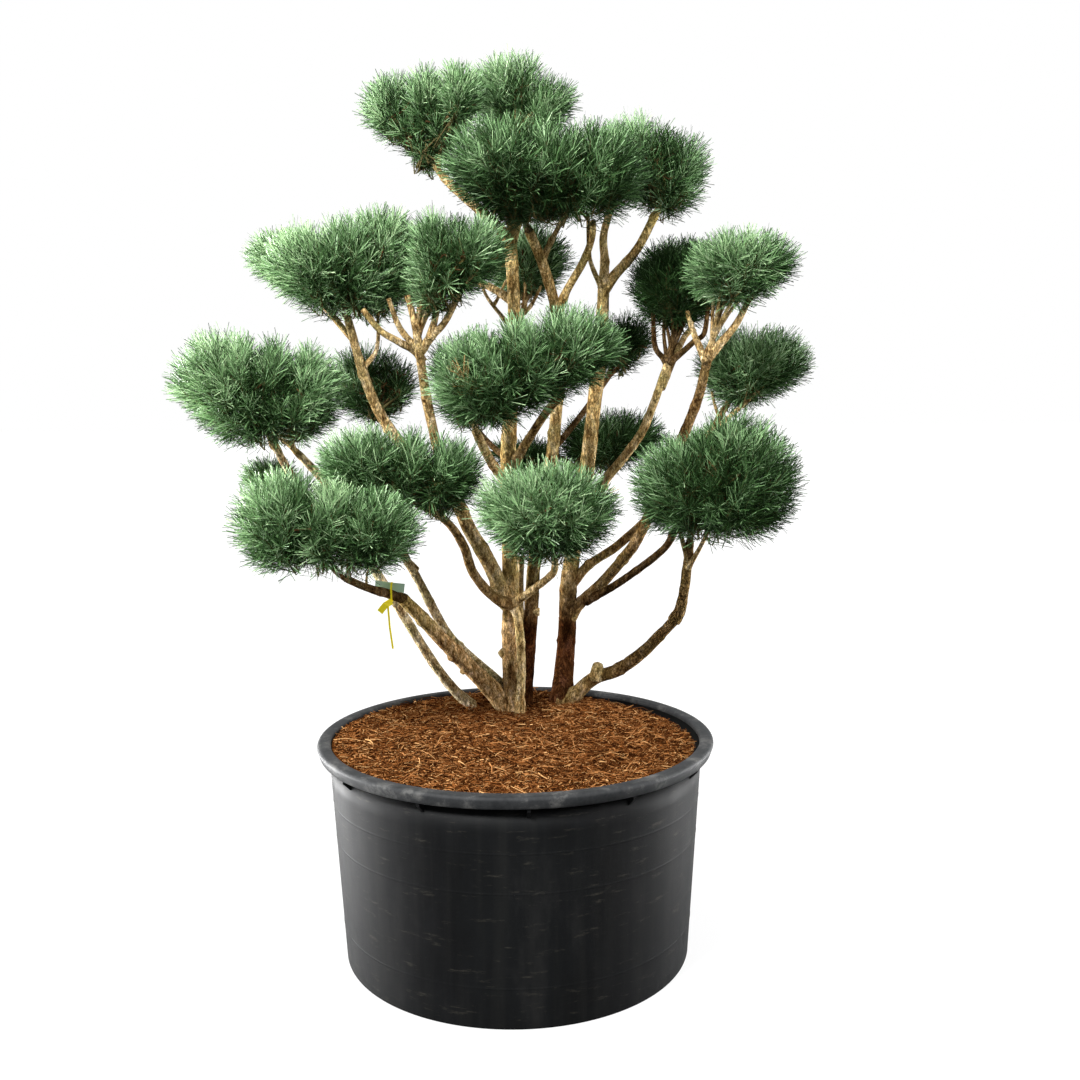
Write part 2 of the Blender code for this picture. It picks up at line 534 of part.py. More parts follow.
def limb_samples():
    """Points along every limb with their radii, for keeping sprays off the wood."""
    places, radii = [], []
    for limb in LIMBS:
        path = smooth_path(limb.stations, WOOD_SAMPLES)
        places.extend(path)
        radii.extend(limb_radii(limb, path))
    return np.array(places), np.array(radii)


def pad_spaces(pad):
    """The space of each lobe: an ellipsoid whose underside narrows towards the pad's stem."""
    foot = pad_stem(pad)[-1]
    spaces = []
    for lobe in pad.lobes:
        pull = (foot - Vector(lobe.centre)) * LOBE_PULL * lobe.taper
        pull.z = 0.0
        limit = LOBE_PULL * lobe.taper * min(lobe.half[:2])
        if pull.length > limit:
            pull = pull.normalized() * limit
        spaces.append(Space(Vector(lobe.centre), Vector(lobe.half), lobe.taper, pull))
    return spaces


def space_point(space, direction, skin=0.0):
    """Where a direction from the centre meets the space, or a body that lies a skin inside it."""
    below = max(0.0, -direction[2])
    half = space.half - Vector((skin, skin, skin))
    narrow = 1.0 - space.taper * below
    offset = Vector((direction[0] * half.x * narrow, direction[1] * half.y * narrow, direction[2] * half.z))
    return space.centre + offset + space.pull * below


def depth_in(space, points):
    """How deep points lie in a space: 0 at its centre, 1 on its surface."""
    offset = np.atleast_2d(points) - np.array(space.centre)
    height = offset[:, 2] / space.half.z
    below = np.clip(-height, 0.0, 1.0)
    narrow = 1.0 - space.taper * below
    offset = offset - below[:, None] * np.array(space.pull)
    flat = np.hypot(offset[:, 0] / space.half.x, offset[:, 1] / space.half.y) / narrow
    return np.hypot(flat, height)


def space_area(space):
    """Surface of the space's ellipsoid by Thomsen's formula."""
    a, b, c = space.half
    power = 1.6075
    mean = ((a * b) ** power + (a * c) ** power + (b * c) ** power) / 3.0
    return 4.0 * math.pi * mean ** (1.0 / power)


def spread_directions(count, turn):
    """Directions spread evenly by the golden angle, all round but for straight below."""
    directions = []
    for index in range(count):
        height = SPRAY_TOP + (SPRAY_BOTTOM - SPRAY_TOP) * (index + 0.5) / count
        flat = math.sqrt(1.0 - height * height)
        angle = index * GOLDEN_ANGLE + turn
        directions.append(Vector((flat * math.cos(angle), flat * math.sin(angle), height)))
    return directions


def spray(name, root, tip, turn, group):
    """A toothed blade, thickest between its teeth: a tuft of needles on a narrow root."""
    axis = (tip - root).normalized()
    side = axis.orthogonal().normalized()
    side.rotate(Matrix.Rotation(turn, 3, axis))
    face = axis.cross(side)
    length = (tip - root).length
    bm = bmesh.new()
    rim = [bm.verts.new(root + axis * (along * length) + side * (across * SPRAY_SPREAD))
           for along, across in SPRAY_OUTLINE]
    for sign in (1.0, -1.0):
        peak = bm.verts.new(root + axis * (SPRAY_PEAK * length) + face * (sign * 0.5 * SPRAY_THICKNESS))
        for start, end in zip(rim, rim[1:] + rim[:1]):
            bm.faces.new((start, end, peak))
    bmesh.ops.recalc_face_normals(bm, faces=bm.faces)
    return hide(mesh_object(name, bm, group))


def twig(name, start, end, start_radius, end_radius, sides, group):
    """A straight twig with a few sides, tapering from start to end."""
    length = (end - start).length
    turn = (end - start).to_track_quat("Z", "Y").to_matrix().to_4x4()
    place = Matrix.Translation((start + end) / 2.0) @ turn
    bm = bmesh.new()
    bmesh.ops.create_cone(bm, cap_ends=True, segments=sides, radius1=start_radius, radius2=end_radius,
                          depth=length, matrix=place)
    return hide(mesh_object(name, bm, group))


def core(name, space, random, group):
    """The dense inside of a lobe that its sprays stand out of."""
    bm = bmesh.new()
    bmesh.ops.create_icosphere(bm, subdivisions=2, radius=1.0)
    for vert in bm.verts:
        vert.co = space_point(space, vert.co * random.uniform(1.0 - CORE_ROUGHNESS, 1.0), CORE_DEPTH)
    return hide(mesh_object(name, bm, group))


def pad_stem(pad):
    """Places along the pad's stem, from inside the limb: through its tip, or out of its side."""
    first = Vector(pad.lobes[0].centre)
    if pad.stem:
        return [Vector(place) for place in pad.stem]
    limb = next(limb for limb in LIMBS if limb.name == pad.bough)
    tip = Vector(limb.stations[-1])
    heading = (tip - smooth_path(limb.stations, RING_SPACING)[-2]).normalized()
    end = tip + heading * STEM_OUTSIDE + (first - tip).normalized() * STEM_BEND
    return [tip - heading * STEM_INSIDE, end]


def build_pad(pad, seed, group, cutters, wood, holder):
    """One mass: a stem that forks into each lobe's core, and sprays that stand out of the cores."""
    random = np.random.default_rng(seed)
    limb = next(limb for limb in LIMBS if limb.name == pad.bough)
    stem = pad_stem(pad)
    stem_radius = min(STEM_RADIUS, STEM_TO_LIMB * limb.tip_radius)
    spaces = pad_spaces(pad)
    pieces = collection(pad.name + "_pieces")
    main = core(pad.name, spaces[0], random, group)
    for index, space in enumerate(spaces[1:]):
        core(f"core_{index}", space, random, pieces)
    hide(tube("stem", stem, [stem_radius] * len(stem), pieces, 0))
    fork_foot = stem[-1] - (stem[-1] - stem[-2]).normalized() * FORK_OVERLAP
    others = [space for other in PADS if other.name != pad.name for space in pad_spaces(other)]
    places, radii = wood
    for number, space in enumerate(spaces):
        for index in range(FORKS):
            angle = index * GOLDEN_ANGLE + seed
            across, along = FORK_REACH * math.cos(angle), FORK_REACH * math.sin(angle)
            inside = space_point(space, (across, along, FORK_DROP))
            twig(f"fork_{number}_{index}", fork_foot, inside, FORK_FOOT * stem_radius, FORK_TIP, 3, pieces)
        count = max(FEWEST_SPRAYS, round(space_area(space) * SPRAYS_PER_AREA))
        for index, direction in enumerate(spread_directions(count, seed + number)):
            tip = space_point(space, direction)
            outward = Vector(a / b for a, b in zip(direction, space.half)).normalized()
            heading = (outward + Vector((0.0, 0.0, SPRAY_RISE))).normalized()
            root = tip - heading * SPRAY_LENGTH
            turn = random.uniform(0.0, math.pi)
            blade = spray(f"spray_{number}_{index}", root, tip, turn, pieces)
            corners = np.array([vert.co for vert in blade.data.vertices])
            near = np.linalg.norm(corners[:, None, :] - places[None, :, :], axis=2) - radii[None, :]
            buried = any(depth_in(other, tip)[0] < BURIED_DEPTH for other in spaces if other is not space)
            crowded = any(depth_in(other, corners).min() < CROWDED_DEPTH for other in others)
            if near.min() < SPRAY_CLEARANCE or crowded or buried:
                remove(blade)
    apply_boolean(main, "UNION", pieces)
    for item in list(pieces.objects):
        remove(item)
    bpy.data.collections.remove(pieces)
    for cutter in cutters:
        if boxes_meet(main, cutter):
            apply_boolean(main, "DIFFERENCE", cutter)
    keep_main_body(main)
    move_origin(main, pad.lobes[0].centre)
    main.parent = holder
    main.hide_render = False
    main.display_type = "TEXTURED"
    finish(main, "needles_dark" if pad.name.startswith("rear") or pad.name.endswith("back") else "needles")


def main():
    clear_scene()
    group = collection("scots_pine")
    tools = collection("cutters")
    holder = bpy.data.objects.new("scots_pine_origin", None)
    group.objects.link(holder)
    build_pot(group, holder)
    build_medium(group, holder)
    limbs, cutters = build_limbs(group, tools, holder)
    wood = limb_samples()
    for index, pad in enumerate(PADS):
        build_pad(pad, SEED + index, group, cutters, wood, holder)
    for limb in LIMBS:
        move_origin(limbs[limb.name], limb.stations[0])


main()
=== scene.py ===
"""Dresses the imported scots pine: bark with relief, twigs and needles grown on from the limbs, pot and mulch.

Metres, +Z up, seen from -Y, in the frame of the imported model.
"""
import math
from collections import namedtuple

import bpy
import numpy as np
from mathutils import Matrix, Vector


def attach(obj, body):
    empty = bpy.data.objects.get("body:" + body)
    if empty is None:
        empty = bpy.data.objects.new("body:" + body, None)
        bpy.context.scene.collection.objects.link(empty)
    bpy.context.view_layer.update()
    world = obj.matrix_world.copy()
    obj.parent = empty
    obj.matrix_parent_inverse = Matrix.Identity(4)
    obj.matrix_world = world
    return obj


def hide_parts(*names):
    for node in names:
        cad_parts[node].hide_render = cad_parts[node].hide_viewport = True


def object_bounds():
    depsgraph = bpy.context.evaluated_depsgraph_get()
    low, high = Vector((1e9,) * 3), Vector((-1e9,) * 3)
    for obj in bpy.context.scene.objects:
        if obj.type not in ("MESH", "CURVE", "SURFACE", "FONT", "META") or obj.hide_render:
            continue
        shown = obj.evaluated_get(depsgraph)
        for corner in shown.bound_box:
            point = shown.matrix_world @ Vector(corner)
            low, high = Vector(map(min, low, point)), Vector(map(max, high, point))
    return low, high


SEED = 1906
GOLDEN_ANGLE = math.pi * (3.0 - math.sqrt(5.0))

# Camera, worked out from the photograph's frame of 1080 pixels
FOCAL_PIXELS = 1240.0
FRAME_PIXELS = 1080.0
SENSOR_MM = 36.0
CAMERA_PLACE = (0.114, -3.833, 1.890)
CAMERA_YAW = -0.0079
CAMERA_PITCH = 0.1459
CAMERA_ROLL = -0.0089

# Light: the sky's strength above, at the horizon, below and behind the camera; softboxes as name, place, size, energy
SKY = 1.25
HORIZON = 0.85
BELOW = 0.54
FRONT_SHADE = 0.56
SOFTBOXES = (("key", (-2.1, -3.5, 4.7), 0.9, 640.0), ("fill", (3.4, -2.6, 3.2), 1.6, 120.0),
             ("side_left", (-3.2, 1.0, 0.5), 1.8, 660.0), ("side_right", (3.2, 1.0, 0.5), 1.8, 300.0))

# Pot, in metres
POT_TOP = 0.699
RIM_RADIUS = 0.629
RIM_HEIGHT = 0.038
RIM_EDGE = 0.012
RIM_DRAFT = 0.008
WALL_TOP_RADIUS = 0.591
WALL_FOOT_RADIUS = 0.552
WALL_THICKNESS = 0.006
FOOT_EDGE = 0.007
POT_STEPS = 160
GUSSETS = 12
GUSSET_TURN = math.radians(4.8)
GUSSET_THICKNESS = 0.010
GUSSET_DROP = 0.036
GUSSET_TIP_DROP = 0.010
OVAL_NARROWING = 0.07
OVAL_SHIFT = 0.008
RING_HEIGHTS = (0.522, 0.405, 0.124)
RING_RISE = 0.0007
RING_WIDTH = 0.004

# Growing medium
MEDIUM_EDGE = 0.677
MEDIUM_LEAN = -0.025
GROUND = 0.710
BANK_CENTRE = (0.0, 0.277)
BANK_RADIUS = 0.215
MEDIUM_RINGS = 70
MEDIUM_SPOKES = 220
FIBRES = 9000
CRUMBS = 24000
FIBRE_TONES = ("fibre_pale", "fibre_straw", "fibre_orange", "fibre_brown", "fibre_dark")

# Label on the low bough
TAG_PLACE = (-0.392, 0.012, 1.180)
CARD_LENGTH = 0.092
CARD_WIDTH = 0.028
TIE_PLACE = (-0.384, 0.004, 1.164)

# Limbs
RING_SPACING = 0.12
FLARE = 0.25
FLARE_HEIGHT = 0.05
BARK_STEP = 0.0075
BARK_SIDES_LEAST = 10
COLLAR = 0.50
COLLAR_LIMB = 0.030
COLLAR_LENGTH = 0.030
WITHOUT_COLLAR = ("rear_bough_right",)
KNOT_SPACING = 0.17
# Bark looks for some limbs: copies of the bark made lighter or darker, partly for the limb's own tone and partly as
# painted light and shade
LIMB_LOOKS = {"far_left_stem": "bark_pale_painted_lit", "left_stem": "bark_pale_painted_lit", "trunk_left": "bark_bright_painted_lit",
              "top_bough_middle": "bark_bright_painted_lit", "low_stem_left": "bark_bright_painted_lit",
              "top_bough_right": "bark_bright_painted_lit", "low_stem_right": "bark_brown_painted_shade",
              "low_stem_right_top": "bark_brown_painted_shade", "upper_bough_right": "bark_brown_painted_shade", "right_bough": "bark_brown_painted_shade",
              "centre_bough_right": "bark_brown_painted_shade", "middle_bough_left": "bark_brown_painted_shade",
              "low_bough_left": "bark_dark_painted_shade", "low_bough_right": "bark_dark_painted_shade",
              "trunk_middle": "bark_dark_foot_painted_shade", "trunk_right": "bark_dark_foot_painted_shade"}

# Pads
LOBE_PULL = 1.5
STEM_RADIUS = 0.009
STEM_TO_LIMB = 0.9
STEM_INSIDE = 0.010
STEM_OUTSIDE = 0.020
STEM_BEND = 0.010
FORK_REACH = 0.50
FORK_DROP = -0.10
FORKS = 5
BRIDGE_REACH = 0.26
BLEND_SHARPNESS = 9.0
OUTER_SHOOTS = 360.0
OUTER_NEEDLES = 56
INNER_SHOOTS = 260.0
INNER_NEEDLES = 36
TWIGS_PER_AREA = 60.0
SHOOT_LENGTH = 0.085
NEEDLE_LENGTH = 0.058
NEEDLE_WIDTH = 0.0019
NEEDLE_FOOT_WIDTH = 0.6
NEEDLES_PROUD = (0.028, 0.028, 0.080)
# Share of each shoot's needles, from its foot, whose tones take painted shade
SHADED_LOWER_WHORLS = 0.40
# Painted shade: needle tones darken towards the right, away from the key light
DARKER_TO_THE_RIGHT = 0.22
# Painted shade on each pad's needle tones, most on pads that lie behind or under others; below zero it paints light
PAD_SHADE = {"upper_pad_right_inner": 1.40, "centre_pad_back": 1.25, "inner_pad_back": 0.30, "left_pad_back": 0.30,
             "low_pad_back": 0.75, "low_pad_right": 0.32, "centre_pad": 0.12, "top_pad_middle": 0.30,
             "middle_pad_left": 0.20, "low_pad_left": 0.12, "right_pad": -0.04, "upper_pad_back": 0.30, "top_pad_back": -0.18,
             "upper_pad_right": -0.12, "low_pad_centre": -0.08, "upper_pad_left": -0.12, "top_pad_right": -0.08, "left_pad": 0.10}
# Pads with at least this much painted shade get the dark bark copy on their forks; the shaded branches get it too, as
# painted shade
SHADED_FORKS = 0.3
DEEPEST_SHADE = -0.85
SHADED_BRANCHES = ("right_branch_1", "right_branch_2", "right_branch_3", "right_branch_4")
NEEDLE_TONES = ("needle_pale", "needle_fresh", "needle_mid", "needle_deep", "needle_dark", "needle_dry")

Limb = namedtuple("Limb", "name foot_radius tip_radius stations")
Pad = namedtuple("Pad", "name bough stem lobes")
Lobe = namedtuple("Lobe", "centre half taper")
Space = namedtuple("Space", "centre half taper pull")

# Each limb runs through its stations from foot to tip.
LIMBS = (
    Limb("trunk_left", 0.031, 0.02, ((-0.005, 0.23, GROUND), (-0.02, 0.24, 0.9), (-0.018, 0.24, 1.2),
                                     (-0.02, 0.22, 1.53), (-0.013, 0.21, 1.68), (0.006, 0.18, 2.03),
                                     (-0.003, 0.17, 2.27))),
    Limb("trunk_middle", 0.027, 0.0155, ((0.02, 0.29, GROUND), (0.036, 0.31, 0.88), (0.049, 0.31, 1.05),
                                        (0.063, 0.31, 1.21), (0.1, 0.305, 1.385), (0.138, 0.275, 1.7),
                                        (0.144, 0.25, 1.88), (0.14, 0.225, 2.035), (0.1, 0.17, 2.18),
                                        (0.057, 0.11, 2.28))),
    Limb("trunk_right", 0.034, 0.0195, ((0.15, 0.34, GROUND), (0.17, 0.36, 0.94), (0.178, 0.36, 1.12),
                                        (0.21, 0.347, 1.35), (0.244, 0.335, 1.54), (0.268, 0.315, 1.755),
                                        (0.285, 0.28, 1.91), (0.295, 0.24, 2.13))),
    Limb("low_stem_right", 0.025, 0.0175, ((0.13, 0.325, GROUND), (0.175, 0.32, 0.72), (0.26, 0.295, 0.803),
                                          (0.34, 0.27, 0.839), (0.427, 0.235, 0.912), (0.524, 0.17, 1.032))),
    Limb("low_stem_right_top", 0.0185, 0.0145, ((0.522, 0.171, 1.03), (0.54, 0.15, 1.073), (0.548, 0.11, 1.15),
                                              (0.553, 0.06, 1.25), (0.554, 0.025, 1.31))),
    Limb("low_stem_left", 0.033, 0.02, ((-0.032, 0.245, GROUND), (-0.065, 0.24, 0.76), (-0.115, 0.215, 0.822),
                                        (-0.213, 0.15, 0.945), (-0.31, 0.07, 1.079), (-0.354, 0.035, 1.136))),
    Limb("low_bough_left", 0.0145, 0.0105, ((-0.35, 0.035, 1.136), (-0.39, 0.0, 1.158), (-0.454, -0.08, 1.196),
                                            (-0.52, -0.15, 1.249), (-0.558, -0.21, 1.32))),
    Limb("left_stem", 0.017, 0.0125, ((-0.035, 0.25, 0.772), (-0.072, 0.27, 0.809), (-0.161, 0.275, 0.889),
                                      (-0.24, 0.26, 0.981), (-0.341, 0.195, 1.206), (-0.424, 0.16, 1.334),
                                      (-0.541, 0.13, 1.436), (-0.672, 0.045, 1.6))),
    Limb("far_left_stem", 0.018, 0.0125, ((-0.15, 0.28, GROUND), (-0.216, 0.285, 0.769), (-0.297, 0.29, 0.88),
                                          (-0.467, 0.27, 1.176), (-0.61, 0.22, 1.363), (-0.707, 0.15, 1.507),
                                          (-0.755, 0.075, 1.63))),
    Limb("front_stem", 0.0155, 0.0155, ((0.008, 0.19, GROUND), (0.015, 0.195, 0.826), (0.016, 0.19, 0.93),
                                        (0.007, 0.18, 1.034), (-0.012, 0.17, 1.093))),
    Limb("low_bough_centre", 0.0145, 0.01, ((-0.012, 0.17, 1.088), (0.026, 0.14, 1.12), (0.114, 0.04, 1.204),
                                            (0.13, -0.02, 1.247), (0.127, -0.06, 1.285))),
    Limb("upper_bough_left", 0.0275, 0.0135, ((-0.025, 0.235, 1.07), (-0.086, 0.205, 1.22), (-0.151, 0.185, 1.341),
                                            (-0.187, 0.18, 1.418), (-0.31, 0.165, 1.557), (-0.41, 0.145, 1.691),
                                            (-0.465, 0.12, 1.825), (-0.508, 0.083, 2.01))),
    Limb("middle_bough_left", 0.017, 0.0118, ((-0.012, 0.17, 1.088), (-0.069, 0.135, 1.12), (-0.13, 0.09, 1.205),
                                              (-0.16, 0.045, 1.306), (-0.207, -0.02, 1.392),
                                              (-0.286, -0.08, 1.455))),
    Limb("upper_bough_inner", 0.0185, 0.0145, ((-0.165, 0.18, 1.39), (-0.216, 0.15, 1.493), (-0.237, 0.12, 1.586),
                                               (-0.265, 0.05, 1.763), (-0.281, -0.01, 1.932))),
    Limb("top_bough_left", 0.018, 0.014, ((-0.003, 0.17, 2.26), (-0.085, 0.19, 2.341), (-0.175, 0.22, 2.422),
                                          (-0.215, 0.237, 2.462))),
    Limb("top_bough_back", 0.0155, 0.0125, ((0.0, 0.17, 2.25), (0.005, 0.25, 2.406), (0.015, 0.34, 2.58))),
    Limb("top_bough_middle", 0.0145, 0.0098, ((0.14, 0.228, 2.03), (0.18, 0.195, 2.111), (0.225, 0.15, 2.185),
                                              (0.252, 0.09, 2.256), (0.254, 0.05, 2.3))),
    Limb("top_bough_right", 0.0165, 0.0138, ((0.295, 0.243, 2.105), (0.331, 0.25, 2.152), (0.403, 0.26, 2.234),
                                             (0.464, 0.287, 2.345))),
    Limb("top_bough_right_inner", 0.016, 0.0105, ((0.294, 0.243, 2.11), (0.297, 0.24, 2.2), (0.295, 0.245, 2.28),
                                                  (0.33, 0.28, 2.4))),
    Limb("upper_bough_right", 0.0205, 0.0148, ((0.175, 0.36, 0.99), (0.213, 0.355, 1.05), (0.285, 0.33, 1.122),
                                             (0.36, 0.285, 1.219), (0.413, 0.245, 1.306), (0.5, 0.2, 1.525),
                                             (0.581, 0.13, 1.737), (0.614, 0.05, 1.912))),
    Limb("low_bough_right", 0.0135, 0.012, ((0.235, 0.345, 1.062), (0.324, 0.28, 1.124), (0.418, 0.2, 1.207),
                                           (0.49, 0.125, 1.286), (0.518, 0.045, 1.37))),
    Limb("right_bough", 0.0165, 0.0118, ((0.186, 0.36, 1.12), (0.251, 0.36, 1.189), (0.355, 0.37, 1.258),
                                         (0.508, 0.37, 1.407), (0.625, 0.37, 1.576), (0.715, 0.37, 1.73))),
    Limb("upper_bough_right_inner", 0.0165, 0.0125, ((0.235, 0.35, 1.37), (0.298, 0.33, 1.474),
                                                    (0.377, 0.29, 1.578), (0.433, 0.26, 1.672),
                                                    (0.506, 0.23, 1.88))),
    Limb("centre_bough_right", 0.0145, 0.0125, ((-0.005, 0.215, 1.545), (0.064, 0.12, 1.657), (0.112, 0.05, 1.729),
                                               (0.155, -0.03, 1.777))),
    Limb("centre_bough_left", 0.0165, 0.013, ((-0.016, 0.22, 1.465), (-0.075, 0.13, 1.568),
                                              (-0.113, 0.02, 1.667))),
    Limb("rear_bough_top", 0.013, 0.01, ((0.0, 0.17, 2.24), (0.03, 0.28, 2.34), (0.08, 0.42, 2.41),
                                         (0.11, 0.52, 2.4))),
    Limb("rear_bough_left", 0.0135, 0.01, ((0.003, 0.178, 2.07), (-0.1, 0.3, 2.13), (-0.2, 0.44, 2.13),
                                           (-0.32, 0.57, 2.13))),
    Limb("rear_bough_right", 0.0135, 0.01, ((0.482, 0.24, 1.79), (0.525, 0.34, 1.87), (0.58, 0.5, 1.95),
                                            (0.61, 0.57, 1.98))),
    Limb("rear_bough_low_right", 0.011, 0.009, ((0.45, 0.37, 1.345), (0.52, 0.46, 1.37), (0.62, 0.57, 1.4))),
    Limb("rear_bough_low_left", 0.012, 0.009, ((-0.33, 0.198, 1.2), (-0.42, 0.3, 1.28), (-0.48, 0.45, 1.32),
                                               (-0.51, 0.54, 1.34))),
)

# Thin branches and cut stubs that grow from the limbs, too slight for solids of their own
BRANCHES = (
    Limb("inner_branch_1", 0.012, 0.009, ((-0.272, 0.03, 1.88), (-0.297, 0.03, 1.914), (-0.348, 0.0, 1.945),
                                          (-0.4, 0.0, 1.978), (-0.45, 0.0, 2.04))),
    Limb("inner_branch_2", 0.010, 0.007, ((-0.28, 0.0, 1.915), (-0.322, -0.01, 1.962), (-0.344, -0.02, 2.001),
                                          (-0.365, -0.04, 2.07))),
    Limb("inner_branch_3", 0.012, 0.009, ((-0.282, 0.0, 1.92), (-0.288, -0.03, 1.991), (-0.308, -0.04, 2.08))),
    Limb("inner_branch_4", 0.013, 0.009, ((-0.276, 0.0, 1.915), (-0.239, -0.02, 1.958), (-0.197, -0.04, 1.999),
                                          (-0.15, -0.07, 2.08))),
    Limb("inner_branch_5", 0.011, 0.006, ((-0.245, -0.02, 1.95), (-0.224, -0.03, 2.021), (-0.217, -0.04, 2.05),
                                          (-0.205, -0.05, 2.12))),
    Limb("inner_branch_6", 0.0045, 0.003, ((-0.221, -0.03, 2.03), (-0.26, -0.02, 2.066), (-0.29, -0.02, 2.095))),
    Limb("left_branch", 0.008, 0.005, ((-0.472, 0.115, 1.86), (-0.426, 0.12, 1.925), (-0.416, 0.09, 2.04))),
    Limb("right_branch_1", 0.009, 0.007, ((0.5, 0.233, 1.862), (0.486, 0.235, 1.886), (0.459, 0.225, 1.925),
                                          (0.452, 0.22, 2.03))),
    Limb("right_branch_2", 0.007, 0.005, ((0.5, 0.233, 1.87), (0.488, 0.23, 1.963), (0.492, 0.23, 2.04))),
    Limb("right_branch_3", 0.011, 0.007, ((0.504, 0.23, 1.87), (0.521, 0.225, 1.962), (0.545, 0.22, 2.04))),
    Limb("right_branch_4", 0.010, 0.007, ((0.503, 0.23, 1.868), (0.549, 0.215, 1.906), (0.583, 0.2, 1.938),
                                          (0.612, 0.18, 1.964), (0.625, 0.19, 2.05))),
    Limb("edge_branch_1", 0.011, 0.007, ((0.605, 0.055, 1.87), (0.576, 0.1, 1.945), (0.552, 0.14, 2.03))),
    Limb("edge_branch_2", 0.010, 0.006, ((0.608, 0.05, 1.89), (0.626, 0.045, 1.961), (0.645, 0.03, 2.07))),
    Limb("edge_branch_3", 0.013, 0.008, ((0.608, 0.05, 1.885), (0.637, 0.045, 1.92), (0.69, 0.03, 1.986),
                                         (0.735, 0.0, 2.08))),
    Limb("trunk_branch_1", 0.007, 0.005, ((0.002, 0.185, 1.98), (-0.082, 0.24, 2.086), (-0.106, 0.27, 2.16))),
    Limb("trunk_branch_2", 0.005, 0.004, ((-0.06, 0.225, 2.06), (-0.047, 0.24, 2.082), (-0.02, 0.26, 2.14))),
    Limb("trunk_branch_3", 0.007, 0.005, ((0.005, 0.18, 2.0), (0.056, 0.24, 2.053), (0.092, 0.3, 2.12))),
    Limb("trunk_branch_4", 0.005, 0.004, ((0.036, 0.21, 2.03), (0.043, 0.24, 2.065), (0.04, 0.27, 2.13))),
    Limb("middle_branch", 0.010, 0.007, ((0.095, 0.165, 2.19), (0.128, 0.14, 2.254), (0.174, 0.05, 2.33))),
    Limb("right_trunk_branch", 0.008, 0.006, ((0.293, 0.243, 2.1), (0.255, 0.2, 2.178), (0.244, 0.14, 2.222),
                                              (0.239, 0.06, 2.32))),
    Limb("far_left_branch", 0.0125, 0.008, ((-0.752, 0.08, 1.62), (-0.762, 0.05, 1.66), (-0.79, 0.03, 1.73))),
    Limb("low_fork_right", 0.009, 0.006, ((0.552, 0.055, 1.225), (0.583, 0.02, 1.291), (0.612, -0.01, 1.36))),
    Limb("low_fork_left", 0.008, 0.006, ((0.551, 0.05, 1.25), (0.53, 0.02, 1.32), (0.515, 0.0, 1.38))),
    Limb("twig_stub", 0.0045, 0.003, ((-0.449, -0.072, 1.187), (-0.455, -0.055, 1.21), (-0.449, -0.06, 1.245))),
    Limb("right_fork_1", 0.009, 0.006, ((0.655, 0.37, 1.63), (0.745, 0.35, 1.71), (0.83, 0.33, 1.79))),
    Limb("right_fork_2", 0.005, 0.004, ((0.69, 0.37, 1.685), (0.675, 0.36, 1.72), (0.66, 0.35, 1.775))),
    Limb("shaded_stem", 0.011, 0.011, ((0.012, 0.29, 0.93), (0.013, 0.29, 1.05), (0.017, 0.29, 1.23))),
    Limb("knob_left", 0.022, 0.012, ((-0.018, 0.237, 0.9), (-0.04, 0.235, 0.905), (-0.056, 0.235, 0.918))),
    Limb("stub_right", 0.026, 0.017, ((0.27, 0.29, 0.808), (0.272, 0.28, 0.835), (0.274, 0.27, 0.856))),
    Limb("knob_middle", 0.018, 0.012, ((0.048, 0.305, 1.04), (0.064, 0.303, 1.036), (0.078, 0.303, 1.035))),
    Limb("stub_low_left", 0.014, 0.009, ((-0.165, 0.183, 0.888), (-0.172, 0.19, 0.868), (-0.182, 0.195, 0.852))),
)


